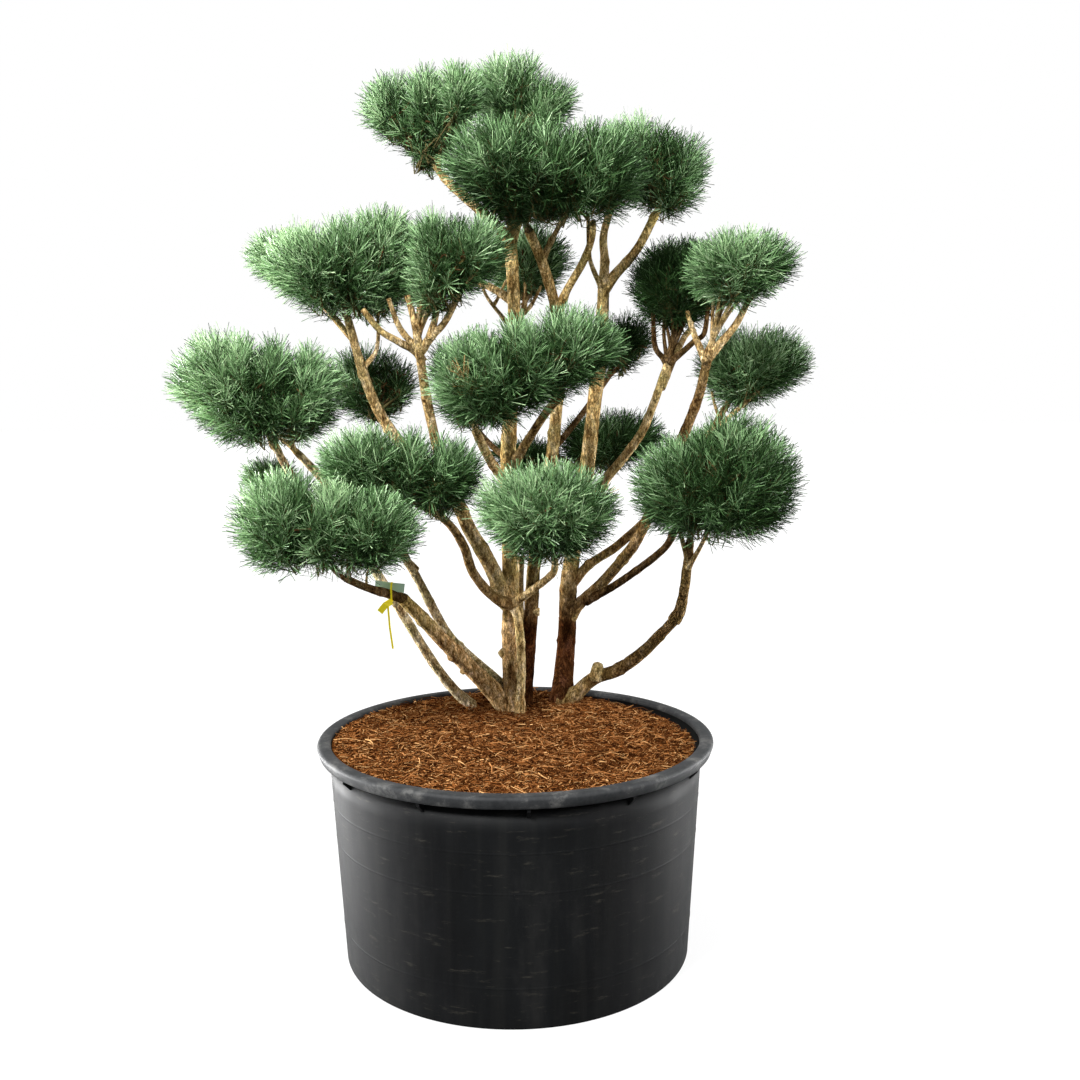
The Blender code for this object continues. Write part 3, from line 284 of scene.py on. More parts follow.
# Each pad of needles grows on one stem from its bough; a stem with points of its own leaves the
# side of the limb, and one without goes on from the limb's tip.
PADS = (
    Pad("top_pad_left", "top_bough_left", (), (Lobe((-0.284, 0.27, 2.571), (0.095, 0.09, 0.088), 0.3),
                                               Lobe((-0.382, 0.3, 2.663), (0.11, 0.12, 0.135), 0.35),
                                               Lobe((-0.157, 0.22, 2.684), (0.084, 0.11, 0.127), 0.3))),
    Pad("top_pad_back", "top_bough_back", (), (Lobe((0.0, 0.44, 2.749), (0.16, 0.16, 0.134), 0.3),
                                               Lobe((0.105, 0.42, 2.703), (0.113, 0.15, 0.116), 0.3))),
    Pad("top_pad_middle", "trunk_middle", (), (Lobe((-0.018, -0.05, 2.437), (0.189, 0.19, 0.158), 0.4),
                                               Lobe((0.232, 0.0, 2.438), (0.192, 0.155, 0.152), 0.0))),
    Pad("top_pad_right", "top_bough_right", (), (Lobe((0.515, 0.31, 2.48), (0.133, 0.15, 0.152), 0.2),
                                                 Lobe((0.419, 0.32, 2.522), (0.168, 0.155, 0.15), 0.25))),
    Pad("far_left_pad", "upper_bough_left", ((-0.494, 0.1, 1.945), (-0.548, 0.22, 1.99), (-0.685, 0.33, 2.135)),
        (Lobe((-0.775, 0.42, 2.226), (0.136, 0.11, 0.105), 0.2),)),
    Pad("upper_pad_left", "upper_bough_left", (), (Lobe((-0.592, 0.05, 2.166), (0.176, 0.17, 0.143), 0.3),
                                                   Lobe((-0.402, 0.12, 2.184), (0.141, 0.14, 0.183), 0.2))),
    Pad("upper_pad_inner", "upper_bough_inner", (), (Lobe((-0.211, -0.07, 2.174), (0.106, 0.14, 0.155), 0.2),
                                                     Lobe((-0.109, -0.08, 2.193), (0.12, 0.13, 0.128), 0.2))),
    Pad("upper_pad_back", "trunk_left", ((0.005, 0.18, 1.99), (0.02, 0.3, 2.0), (0.035, 0.38, 2.07)),
        (Lobe((0.044, 0.46, 2.212), (0.164, 0.13, 0.135), 0.25),)),
    Pad("left_pad", "left_stem", (), (Lobe((-0.861, 0.0, 1.8), (0.19, 0.2, 0.187), 0.25),
                                      Lobe((-0.675, 0.05, 1.784), (0.162, 0.17, 0.164), 0.15))),
    Pad("left_pad_back", "upper_bough_left", ((-0.33, 0.162, 1.583), (-0.4, 0.27, 1.64), (-0.46, 0.36, 1.7)),
        (Lobe((-0.482, 0.38, 1.806), (0.158, 0.13, 0.137), 0.2),
         Lobe((-0.39, 0.34, 1.8), (0.09, 0.085, 0.1), 0.1))),
    Pad("inner_pad_back", "trunk_left", ((-0.013, 0.22, 1.56), (-0.08, 0.34, 1.6), (-0.14, 0.44, 1.66)),
        (Lobe((-0.17, 0.55, 1.81), (0.152, 0.12, 0.166), 0.3),
         Lobe((-0.243, 0.55, 1.872), (0.08, 0.09, 0.095), 0.2))),
    Pad("centre_pad", "centre_bough_left", (), (Lobe((-0.059, -0.16, 1.829), (0.184, 0.17, 0.158), 0.15),
                                                Lobe((0.175, -0.14, 1.904), (0.174, 0.15, 0.14), 0.25))),
    Pad("centre_pad_back", "trunk_middle", ((0.128, 0.286, 1.59), (0.21, 0.37, 1.68), (0.32, 0.48, 1.82)),
        (Lobe((0.386, 0.54, 1.94), (0.11, 0.1, 0.1), 0.3),)),
    Pad("upper_pad_right_inner", "upper_bough_right_inner", (),
        (Lobe((0.532, 0.24, 2.118), (0.168, 0.14, 0.15), 0.1),)),
    Pad("upper_pad_right", "upper_bough_right", (), (Lobe((0.701, -0.02, 2.154), (0.178, 0.15, 0.12), 0.25),)),
    Pad("right_pad", "right_bough", (), (Lobe((0.81, 0.38, 1.852), (0.209, 0.16, 0.142), 0.4),)),
    Pad("low_pad_back", "trunk_middle", ((0.108, 0.3, 1.44), (0.15, 0.42, 1.47), (0.2, 0.5, 1.51)),
        (Lobe((0.34, 0.58, 1.597), (0.196, 0.15, 0.113), 0.25),
         Lobe((0.026, 0.54, 1.553), (0.134, 0.09, 0.06), 0.3))),
    Pad("low_pad_right", "low_stem_right_top", (), (Lobe((0.557, -0.08, 1.498), (0.204, 0.2, 0.176), 0.05),
                                                    Lobe((0.672, -0.09, 1.519), (0.208, 0.2, 0.203), 0.0))),
    Pad("low_pad_centre", "low_bough_centre", (), (Lobe((0.108, -0.22, 1.44), (0.22, 0.18, 0.158), 0.25),)),
    Pad("middle_pad_left", "middle_bough_left", (), (Lobe((-0.425, -0.12, 1.574), (0.173, 0.145, 0.122), 0.15),
                                                     Lobe((-0.212, -0.1, 1.54), (0.14, 0.14, 0.13), 0.1))),
    Pad("low_pad_left", "low_bough_left", (), (Lobe((-0.638, -0.33, 1.431), (0.157, 0.17, 0.155), 0.0),
                                               Lobe((-0.398, -0.33, 1.404), (0.155, 0.15, 0.13), 0.1))),
    Pad("small_pad_left", "far_left_stem", ((-0.64, 0.2, 1.41), (-0.72, 0.27, 1.42), (-0.79, 0.31, 1.44)),
        (Lobe((-0.835, 0.34, 1.494), (0.105, 0.08, 0.075), 0.2),)),
    Pad("rear_pad_top", "rear_bough_top", (), (Lobe((0.12, 0.62, 2.5), (0.2, 0.17, 0.15), 0.3),)),
    Pad("rear_pad_left", "rear_bough_left", (), (Lobe((-0.4, 0.66, 2.23), (0.22, 0.18, 0.14), 0.3),)),
    Pad("rear_pad_right", "rear_bough_right", (), (Lobe((0.6, 0.63, 2.16), (0.18, 0.16, 0.14), 0.3),)),
    Pad("rear_pad_low_right", "rear_bough_low_right", (), (Lobe((0.72, 0.67, 1.5), (0.21, 0.18, 0.15), 0.3),)),
    Pad("rear_pad_low_left", "rear_bough_low_left", (), (Lobe((-0.54, 0.65, 1.43), (0.19, 0.17, 0.14), 0.3),)),
)

# Plain colours: base colour, roughness, specular level
PLAIN = {
    # Needle tones from pale to dark, dealt out partly as painted light and shade and partly at random
    "needle_pale": ((0.350, 0.500, 0.265), 0.40, 0.40),
    "needle_fresh": ((0.215, 0.365, 0.165), 0.40, 0.40),
    "needle_mid": ((0.125, 0.235, 0.092), 0.42, 0.35),
    "needle_deep": ((0.052, 0.116, 0.036), 0.45, 0.25),
    "needle_dark": ((0.013, 0.033, 0.008), 0.60, 0.08),
    "needle_dry": ((0.300, 0.200, 0.080), 0.70, 0.10),
    "twig": ((0.085, 0.045, 0.020), 0.85, 0.0),
    "shoot": ((0.075, 0.062, 0.026), 0.80, 0.0),
    "fibre_pale": ((0.540, 0.300, 0.120), 0.90, 0.0),
    "fibre_straw": ((0.340, 0.150, 0.050), 0.90, 0.0),
    "fibre_orange": ((0.185, 0.066, 0.018), 0.92, 0.0),
    "fibre_brown": ((0.075, 0.025, 0.007), 0.95, 0.0),
    "fibre_dark": ((0.022, 0.007, 0.002), 0.95, 0.0),
    "tag_card": ((0.420, 0.600, 0.470), 0.45, 0.15),
    "tag_tie": ((0.950, 0.800, 0.020), 0.40, 0.15),
    "pot_plastic_shaded": ((0.0045, 0.0045, 0.0042), 0.75, 0.05),
}


# Numbers on many points at once

def unit(vectors):
    return vectors / np.maximum(np.linalg.norm(vectors, axis=-1, keepdims=True), 1e-12)


def field(points, size, seed):
    """A smooth random field from -1 to 1, with features about size across; size may differ by axis."""
    grid = points / np.asarray(size)
    base = np.floor(grid).astype(np.int64)
    part = grid - base
    part = part * part * (3.0 - 2.0 * part)
    total = np.zeros(len(points))
    for corner in range(8):
        step = np.array([corner & 1, corner >> 1 & 1, corner >> 2 & 1])
        cell = (base + step).astype(np.uint64)
        code = cell[:, 0] * np.uint64(73856093) ^ cell[:, 1] * np.uint64(19349663)
        code = code ^ cell[:, 2] * np.uint64(83492791) ^ np.uint64(seed * 7919 + 1013)
        code = (code ^ code >> np.uint64(13)) * np.uint64(0x9E3779B97F4A7C15)
        code = code ^ code >> np.uint64(29)
        value = (code % np.uint64(65521)).astype(float) / 32760.0 - 1.0
        total += value * np.prod(np.where(step, part, 1.0 - part), axis=1)
    return total


def smooth_path(stations, spacing):
    """Sample a Catmull-Rom curve through the stations about every spacing."""
    points = [Vector(station) for station in stations]
    points = [2 * points[0] - points[1]] + points + [2 * points[-1] - points[-2]]
    path = []
    for before, start, end, after in zip(points, points[1:], points[2:], points[3:]):
        steps = max(1, round((end - start).length / spacing))
        for step in range(steps):
            t = step / steps
            path.append(0.5 * (2 * start + (end - before) * t
                               + (2 * before - 5 * start + 4 * end - after) * t ** 2
                               + (3 * start - before - 3 * end + after) * t ** 3))
    return path + [points[-2]]


def limb_runs(path):
    return np.cumsum([0.0] + [(b - a).length for a, b in zip(path, path[1:])])


def limb_radii(limb, path):
    """Taper from foot to tip, with a root flare where the limb leaves the ground."""
    runs = limb_runs(path)
    radii = limb.foot_radius + (limb.tip_radius - limb.foot_radius) * runs / runs[-1]
    if limb.stations[0][2] == GROUND:
        radii = radii * (1.0 + FLARE * np.exp(-runs / FLARE_HEIGHT))
    return radii


# Meshes from arrays

def piece(name, points, faces, looks, face_looks=None, smooth=True, stage=False):
    """An object from an array of points and one of faces with the same number of corners."""
    faces = np.asarray(faces, dtype=np.int32)
    count, corners = faces.shape
    mesh = bpy.data.meshes.new(name)
    mesh.vertices.add(len(points))
    mesh.vertices.foreach_set("co", np.asarray(points, dtype=np.float32).ravel())
    mesh.loops.add(count * corners)
    mesh.loops.foreach_set("vertex_index", faces.ravel())
    mesh.polygons.add(count)
    mesh.polygons.foreach_set("loop_start", np.arange(0, count * corners, corners, dtype=np.int32))
    mesh.polygons.foreach_set("loop_total", np.full(count, corners, dtype=np.int32))
    mesh.polygons.foreach_set("use_smooth", np.full(count, smooth))
    for look in looks:
        mesh.materials.append(material(look))
    if face_looks is not None:
        mesh.polygons.foreach_set("material_index", np.asarray(face_looks, dtype=np.int32))
    mesh.update(calc_edges=True)
    mesh.validate()
    item = bpy.data.objects.new(name, mesh)
    bpy.context.scene.collection.objects.link(item)
    if stage:
        return item
    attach(item, "root")
    return item


def grid_faces(rows, columns, around=True):
    """Quads of a grid of points, closed round its columns where around."""
    row = np.arange(rows - 1)[:, None]
    column = np.arange(columns if around else columns - 1)[None, :]
    after = (column + 1) % columns
    low, high = row * columns, (row + 1) * columns
    return np.stack([low + column, low + after, high + after, high + column], axis=-1).reshape(-1, 4)


def tubes(starts, middles, ends, foot_radii, tip_radii, sides, steps):
    """Many tapering tubes along quadratic curves: points and quads."""
    count = len(starts)
    t = np.linspace(0.0, 1.0, steps + 1)[None, :, None]
    centre = (1 - t) ** 2 * starts[:, None] + 2 * t * (1 - t) * middles[:, None] + t ** 2 * ends[:, None]
    along = unit(2 * (1 - t) * (middles - starts)[:, None] + 2 * t * (ends - middles)[:, None])
    helper = np.where(np.abs(along[:, :1, 2:3]) < 0.9, np.array([0.0, 0.0, 1.0]), np.array([1.0, 0.0, 0.0]))
    side = unit(np.cross(along, np.broadcast_to(helper, along.shape)))
    other = np.cross(along, side)
    radii = foot_radii[:, None] + (tip_radii - foot_radii)[:, None] * t[0, :, 0][None, :]
    angle = np.arange(sides) * 2.0 * math.pi / sides
    ring = (side[:, :, None] * np.cos(angle)[:, None] + other[:, :, None] * np.sin(angle)[:, None])
    points = centre[:, :, None] + ring * radii[:, :, None, None]
    one = grid_faces(steps + 1, sides)
    faces = one[None] + (np.arange(count) * (steps + 1) * sides)[:, None, None]
    return points.reshape(-1, 3), faces.reshape(-1, 4)


def joined(parts):
    """Join several (points, faces) into one."""
    points, faces, start = [], [], 0
    for own_points, own_faces in parts:
        points.append(own_points)
        faces.append(own_faces + start)
        start += len(own_points)
    return np.concatenate(points), np.concatenate(faces)


# Materials

def material(look):
    """The look's material, made once."""
    found = bpy.data.materials.get(look)
    if found:
        return found
    made = bpy.data.materials.new(look)
    made.use_nodes = True
    if look in PLAIN:
        colour, roughness, specular = PLAIN[look]
        shader = made.node_tree.nodes["Principled BSDF"]
        shader.inputs["Base Color"].default_value = (*colour, 1.0)
        shader.inputs["Roughness"].default_value = roughness
        shader.inputs["Specular IOR Level"].default_value = specular
        return made
    PATTERNED[look](made.node_tree)
    return made


def node(tree, kind, **values):
    made = tree.nodes.new(kind)
    for key, value in values.items():
        if key in made.inputs:
            made.inputs[key].default_value = value
        else:
            setattr(made, key, value)
    return made


def noise(tree, place, scale, detail=4.0, rough=0.55):
    made = node(tree, "ShaderNodeTexNoise", Scale=scale, Detail=detail, Roughness=rough)
    tree.links.new(place, made.inputs["Vector"])
    return made.outputs["Fac"]


def ramp(tree, value, stops):
    """A colour ramp through (place, colour) stops."""
    made = tree.nodes.new("ShaderNodeValToRGB")
    while len(made.color_ramp.elements) < len(stops):
        made.color_ramp.elements.new(0.5)
    for element, (place, colour) in zip(made.color_ramp.elements, stops):
        element.position = place
        element.color = (*colour, 1.0) if len(colour) == 3 else (colour[0],) * 3 + (1.0,)
    tree.links.new(value, made.inputs["Fac"])
    return made.outputs["Color"]


def mix(tree, share, first, second, blend="MIX"):
    made = node(tree, "ShaderNodeMix", data_type="RGBA", blend_type=blend)
    for socket, value in ((made.inputs["Factor"], share), (made.inputs["A"], first), (made.inputs["B"], second)):
        target = socket
        if socket.name in ("A", "B"):
            target = next(s for s in made.inputs if s.name == socket.name and s.type == "RGBA")
        if isinstance(value, bpy.types.NodeSocket):
            tree.links.new(value, target)
        elif isinstance(value, tuple):
            target.default_value = (*value, 1.0)
        else:
            target.default_value = value
    return next(s for s in made.outputs if s.type == "RGBA")


def object_place(tree, stretch=(1.0, 1.0, 1.0)):
    place = tree.nodes.new("ShaderNodeTexCoord").outputs["Object"]
    mapping = node(tree, "ShaderNodeMapping", Scale=stretch)
    tree.links.new(place, mapping.inputs["Vector"])
    return mapping.outputs["Vector"]


def bump(tree, height, strength, distance):
    made = node(tree, "ShaderNodeBump", Strength=strength, Distance=distance)
    tree.links.new(height, made.inputs["Height"])
    return made.outputs["Normal"]


def bark_material(tree, gain=(1.08, 1.04, 1.04), foot_gain=None):
    """Scaly bark in tan, brown and olive with dark cracks; the gains lighten or darken a limb, above and at its foot,
    partly as painted light and shade.
    """
    shader = tree.nodes["Principled BSDF"]
    place = object_place(tree, (1.0, 1.0, 0.45))
    warp = node(tree, "ShaderNodeTexNoise", Scale=70.0, Detail=4.0, Roughness=0.7)
    tree.links.new(place, warp.inputs["Vector"])
    bent = node(tree, "ShaderNodeVectorMath", operation="MULTIPLY_ADD")
    tree.links.new(warp.outputs["Color"], bent.inputs[0])
    bent.inputs[1].default_value = (0.040, 0.040, 0.040)
    tree.links.new(place, bent.inputs[2])
    cracks = node(tree, "ShaderNodeTexVoronoi", feature="DISTANCE_TO_EDGE", Scale=85.0)
    tree.links.new(bent.outputs[0], cracks.inputs["Vector"])
    coarse = noise(tree, place, 40.0, 6.0, 0.72)
    fine = noise(tree, place, 190.0, 4.0, 0.65)
    patches = noise(tree, object_place(tree), 8.0, 4.0, 0.6)
    colour = ramp(tree, coarse, ((0.34, (0.090, 0.044, 0.014)), (0.44, (0.310, 0.200, 0.078)),
                                 (0.54, (0.530, 0.390, 0.175)), (0.68, (0.780, 0.640, 0.410))))
    algae = ramp(tree, patches, ((0.46, (0.0,)), (0.66, (0.50,))))
    colour = mix(tree, algae, colour, (0.260, 0.250, 0.080))
    split = ramp(tree, cracks.outputs["Distance"], ((0.0, (0.22,)), (0.12, (0.90,)), (0.30, (1.12,))))
    colour = mix(tree, 1.0, colour, split, "MULTIPLY")
    flecks = ramp(tree, fine, ((0.38, (0.55,)), (0.62, (1.28,))))
    colour = mix(tree, 1.0, colour, flecks, "MULTIPLY")
    # Below 1.3 m the foot gain takes over, fully below 0.98 m: darker at the foot, partly the lower bark's own brown
    # and partly painted shade under the low pads
    if foot_gain:
        height = tree.nodes.new("ShaderNodeSeparateXYZ")
        tree.links.new(object_place(tree), height.inputs[0])
        climb = node(tree, "ShaderNodeMapRange")
        climb.inputs["From Min"].default_value = 0.98
        climb.inputs["From Max"].default_value = 1.30
        tree.links.new(height.outputs["Z"], climb.inputs["Value"])
        gain = mix(tree, climb.outputs["Result"], foot_gain, gain)
    tree.links.new(mix(tree, 1.0, colour, gain, "MULTIPLY"), shader.inputs["Base Color"])
    shader.inputs["Roughness"].default_value = 0.90
    shader.inputs["Specular IOR Level"].default_value = 0.0
    relief = mix(tree, 0.5, split, flecks)
    tree.links.new(bump(tree, relief, 1.0, 0.005), shader.inputs["Normal"])


# Lit and shaded copies of the bark: their gains hold the limbs' own tone and painted light and shade
def bark_pale_painted_lit_material(tree):
    bark_material(tree, (1.22, 1.30, 1.65))


def bark_bright_painted_lit_material(tree):
    bark_material(tree, (1.35, 1.28, 1.12), (1.12, 0.98, 0.98))


def bark_brown_painted_shade_material(tree):
    bark_material(tree, (0.52, 0.44, 0.40))


def bark_dark_painted_shade_material(tree):
    bark_material(tree, (0.26, 0.21, 0.20))


# Trunks with painted shade at the foot, partly their own darker brown
def bark_dark_foot_painted_shade_material(tree):
    bark_material(tree, (1.15, 1.10, 1.02), (0.14, 0.070, 0.058))


def pot_material(tree):
    """Charcoal plastic with dust, streaks and scuffs."""
    shader = tree.nodes["Principled BSDF"]
    dust = noise(tree, object_place(tree, (1.0, 1.0, 0.35)), 7.0, 6.0, 0.65)
    streaks = noise(tree, object_place(tree, (1.0, 1.0, 0.06)), 26.0, 4.0, 0.6)
    scuffs = noise(tree, object_place(tree, (1.0, 1.0, 6.0)), 9.0, 8.0, 0.75)
    base = ramp(tree, dust, ((0.32, (0.0016, 0.0018, 0.0020)), (0.55, (0.0030, 0.0034, 0.0038)),
                             (0.75, (0.009, 0.009, 0.009))))
    streaked = ramp(tree, streaks, ((0.45, (0.0,)), (0.75, (0.35,))))
    colour = mix(tree, streaked, base, (0.011, 0.011, 0.010))
    scuffed = ramp(tree, scuffs, ((0.58, (0.0,)), (0.72, (0.55,))))
    colour = mix(tree, scuffed, colour, (0.050, 0.046, 0.036))
    tree.links.new(colour, shader.inputs["Base Color"])
    rough = ramp(tree, dust, ((0.30, (0.56,)), (0.70, (0.72,))))
    tree.links.new(rough, shader.inputs["Roughness"])
    shader.inputs["Specular IOR Level"].default_value = 0.11
    tree.links.new(bump(tree, scuffs, 0.20, 0.003), shader.inputs["Normal"])


def rim_material(tree):
    """The rim's worn, lighter plastic."""
    shader = tree.nodes["Principled BSDF"]
    dust = noise(tree, object_place(tree), 14.0, 8.0, 0.75)
    base = ramp(tree, dust, ((0.32, (0.009, 0.010, 0.011)), (0.52, (0.024, 0.025, 0.026)),
                             (0.68, (0.085, 0.084, 0.080))))
    tree.links.new(base, shader.inputs["Base Color"])
    shader.inputs["Roughness"].default_value = 0.62
    shader.inputs["Specular IOR Level"].default_value = 0.15


def coir_material(tree):
    """Matted bark fibre between the loose strands."""
    shader = tree.nodes["Principled BSDF"]
    fine = noise(tree, object_place(tree), 120.0, 5.0, 0.7)
    broad = noise(tree, object_place(tree), 12.0, 3.0)
    base = ramp(tree, fine, ((0.30, (0.010, 0.003, 0.001)), (0.50, (0.060, 0.018, 0.004)),
                             (0.72, (0.200, 0.075, 0.018))))
    shade = ramp(tree, broad, ((0.35, (0.60,)), (0.65, (1.10,))))
    tree.links.new(mix(tree, 1.0, base, shade, "MULTIPLY"), shader.inputs["Base Color"])
    shader.inputs["Roughness"].default_value = 0.95
    shader.inputs["Specular IOR Level"].default_value = 0.0
    tree.links.new(bump(tree, fine, 0.8, 0.004), shader.inputs["Normal"])


def floor_material(tree):
    """White to the camera and dim to the light, so that it sends no glare up under the crown."""
    dim = tree.nodes["Principled BSDF"]
    dim.inputs["Base Color"].default_value = (0.10, 0.10, 0.10, 1.0)
    reach = node(tree, "ShaderNodeVectorMath", operation="LENGTH")
    tree.links.new(object_place(tree), reach.inputs[0])
    strength = node(tree, "ShaderNodeMapRange")
    for name, value in (("From Min", 0.7), ("From Max", 2.6), ("To Min", 0.86), ("To Max", 1.02)):
        strength.inputs[name].default_value = value
    tree.links.new(reach.outputs["Value"], strength.inputs["Value"])
    glow = node(tree, "ShaderNodeEmission")
    tree.links.new(strength.outputs["Result"], glow.inputs["Strength"])
    pale = node(tree, "ShaderNodeBsdfDiffuse", Color=(0.10, 0.10, 0.10, 1.0))
    seen = tree.nodes.new("ShaderNodeAddShader")
    tree.links.new(glow.outputs[0], seen.inputs[0])
    tree.links.new(pale.outputs[0], seen.inputs[1])
    both = tree.nodes.new("ShaderNodeMixShader")
    rays = tree.nodes.new("ShaderNodeLightPath")
    tree.links.new(rays.outputs["Is Camera Ray"], both.inputs[0])
    tree.links.new(dim.outputs[0], both.inputs[1])
    tree.links.new(seen.outputs[0], both.inputs[2])
    tree.links.new(both.outputs[0], tree.nodes["Material Output"].inputs["Surface"])


PATTERNED = {"bark": bark_material, "bark_pale_painted_lit": bark_pale_painted_lit_material, "bark_bright_painted_lit": bark_bright_painted_lit_material,
             "bark_brown_painted_shade": bark_brown_painted_shade_material, "bark_dark_painted_shade": bark_dark_painted_shade_material,
             "bark_dark_foot_painted_shade": bark_dark_foot_painted_shade_material,
             "pot_plastic_worn": pot_material, "pot_rim_worn": rim_material, "coir_matted": coir_material,
             "studio_floor": floor_material}


# Bark

def limb_mesh(limb, number):
    """Points and triangles of a limb with lumps, knots and flaking plates."""
    path = smooth_path(limb.stations, BARK_STEP)
    runs = limb_runs(path)
    radii = limb_radii(limb, path)
    grounded = limb.stations[0][2] == GROUND
    if not grounded and limb.name not in WITHOUT_COLLAR:
        collar = COLLAR * max(0.0, 1.0 - limb.foot_radius / COLLAR_LIMB)
        radii = radii * (1.0 + collar * np.exp(-np.maximum(runs - limb.foot_radius, 0.0) / COLLAR_LENGTH))
    centre = np.array(path)
    along = unit(np.gradient(centre, axis=0))
    side = np.zeros_like(centre)
    side[0] = unit(np.cross(along[0], [0.0, 1.0, 0.1]))
    for index in range(1, len(centre)):
        flat = side[index - 1] - along[index] * side[index - 1].dot(along[index])
        side[index] = unit(flat)
    other = np.cross(along, side)
    sides = max(BARK_SIDES_LEAST, round(2.0 * math.pi * limb.foot_radius / BARK_STEP))
    angle = np.arange(sides) * 2.0 * math.pi / sides
    ring = side[:, None] * np.cos(angle)[None, :, None] + other[:, None] * np.sin(angle)[None, :, None]
    local = np.stack(np.broadcast_arrays(radii[:, None] * np.cos(angle), radii[:, None] * np.sin(angle),
                                         runs[:, None]), axis=-1).reshape(-1, 3)
    lumps = field(local, (0.05, 0.05, 0.10), number).reshape(len(path), sides)
    plates = field(local, (0.011, 0.011, 0.040), number + 50).reshape(len(path), sides)
    flakes = field(local, (0.006, 0.006, 0.015), number + 90).reshape(len(path), sides)
    fissures = 1.0 - np.minimum(1.0, np.abs(plates) * 3.0)
    rough = np.clip(1.35 - 0.55 * centre[:, 2], 0.30, 1.0)[:, None] * np.sqrt(limb.foot_radius / 0.03)
    relief = 0.07 * radii[:, None] * lumps + rough * (0.0009 * flakes - 0.0022 * fissures)
    random = np.random.default_rng(SEED + number)
    for place in np.arange(0.5 * KNOT_SPACING, runs[-1], KNOT_SPACING):
        middle = place + random.uniform(-0.05, 0.05)
        turn = random.uniform(0.0, 2.0 * math.pi)
        height = random.uniform(0.12, 0.34)
        near = np.exp(-((runs - middle) / 0.011) ** 2)[:, None]
        faced = 0.25 + 0.75 * np.exp(-((np.angle(np.exp(1j * (angle - turn)))) / 0.55) ** 2)[None, :]
        relief = relief + height * radii[:, None] * near * faced
    points = centre[:, None] + ring * (radii[:, None] + relief)[:, :, None]
    if grounded:
        points[0, :, 2] = GROUND - 0.004
    points = points.reshape(-1, 3)
    ends = np.stack([centre[0], centre[-1]])
    faces = grid_faces(len(path), sides)
    foot, tip = len(points), len(points) + 1
    ring_index = np.arange(sides)
    after = (ring_index + 1) % sides
    last = (len(path) - 1) * sides
    foot_cap = np.stack([np.full(sides, foot), after, ring_index], axis=-1)
    tip_cap = np.stack([np.full(sides, tip), last + ring_index, last + after], axis=-1)
    triangles = np.concatenate([faces[:, [0, 1, 2]], faces[:, [0, 2, 3]], foot_cap, tip_cap])
    return np.concatenate([points, ends]), triangles


def build_limb(limb, number):
    """The bark of a limb, which replaces the plain solid."""
    points, triangles = limb_mesh(limb, number)
    look = LIMB_LOOKS.get(limb.name, "bark")
    item = piece(f"{limb.name}_bark", points, triangles, (look,))
    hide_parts(limb.name)


def build_branches():
    parts = [limb_mesh(branch, 200 + number) for number, branch in enumerate(BRANCHES)]
    shaded = [np.full(len(part[1]), branch.name in SHADED_BRANCHES) for branch, part in zip(BRANCHES, parts)]
    points, triangles = joined(parts)
    piece("side_branches", points, triangles, ("bark", "bark_dark_painted_shade"), np.concatenate(shaded))


# Pads

def pad_stem(pad):
    """Places along the pad's stem, from inside the limb: through its tip, or out of its side."""
    first = Vector(pad.lobes[0].centre)
    if pad.stem:
        return [Vector(place) for place in pad.stem]
    limb = next(limb for limb in LIMBS if limb.name == pad.bough)
    tip = Vector(limb.stations[-1])
    heading = (tip - smooth_path(limb.stations, RING_SPACING)[-2]).normalized()
    end = tip + heading * STEM_OUTSIDE + (first - tip).normalized() * STEM_BEND
    return [tip - heading * STEM_INSIDE, end]


def pad_spaces(pad):
    """The space of each lobe: an ellipsoid whose underside narrows towards the pad's stem."""
    foot = pad_stem(pad)[-1]
    spaces = []
    for lobe in pad.lobes:
        pull = (foot - Vector(lobe.centre)) * LOBE_PULL * lobe.taper
        pull.z = 0.0
        limit = LOBE_PULL * lobe.taper * min(lobe.half[:2])
        if pull.length > limit:
            pull = pull.normalized() * limit
        spaces.append(Space(np.array(lobe.centre), np.array(lobe.half), lobe.taper, np.array(pull)))
    return spaces


def space_points(space, directions, skin=0.0):
    """Where directions from the centre meet the space, or a body that lies a skin inside it."""
    below = np.maximum(0.0, -directions[:, 2:3])
    half = space.half - np.reshape(skin, (-1, 1))
    narrow = np.concatenate([1.0 - space.taper * below] * 2 + [np.ones_like(below)], axis=1)
    return space.centre + directions * half * narrow + space.pull * below


def depth_in(space, points):
    """How deep points lie in a space: 0 at its centre, 1 on its surface."""
    offset = points - space.centre
    height = offset[:, 2] / space.half[2]
    below = np.clip(-height, 0.0, 1.0)
    offset = offset - below[:, None] * space.pull
    narrow = 1.0 - space.taper * below
    flat = np.hypot(offset[:, 0] / space.half[0], offset[:, 1] / space.half[1]) / narrow
    return np.hypot(flat, height)


def space_area(space):
    """Surface of the space's ellipsoid by Thomsen's formula."""
    a, b, c = space.half
    power = 1.6075
    mean = ((a * b) ** power + (a * c) ** power + (b * c) ** power) / 3.0
    return 4.0 * math.pi * mean ** (1.0 / power)


def spread_directions(count, turn, top=0.99, bottom=-0.92):
    """Directions spread evenly by the golden angle, all round but for straight below."""
    index = np.arange(count)
    height = top + (bottom - top) * (index + 0.5) / count
    flat = np.sqrt(1.0 - height * height)
    angle = index * GOLDEN_ANGLE + turn
    return np.stack([flat * np.cos(angle), flat * np.sin(angle), height], axis=1)


def nearest(points, targets):
    gaps = np.linalg.norm(points[:, None] - targets[None], axis=2)
    return gaps.argmin(axis=1)


def bridged(spaces):
    """The pad's lobes, and a space between each two that lie near each other."""
    made = list(spaces)
    for index, first in enumerate(spaces):
        for second in spaces[index + 1:]:
            if np.linalg.norm(first.centre - second.centre) < BRIDGE_REACH:
                made.append(Space(*(0.5 * (one + other) for one, other in zip(first, second))))
    return made


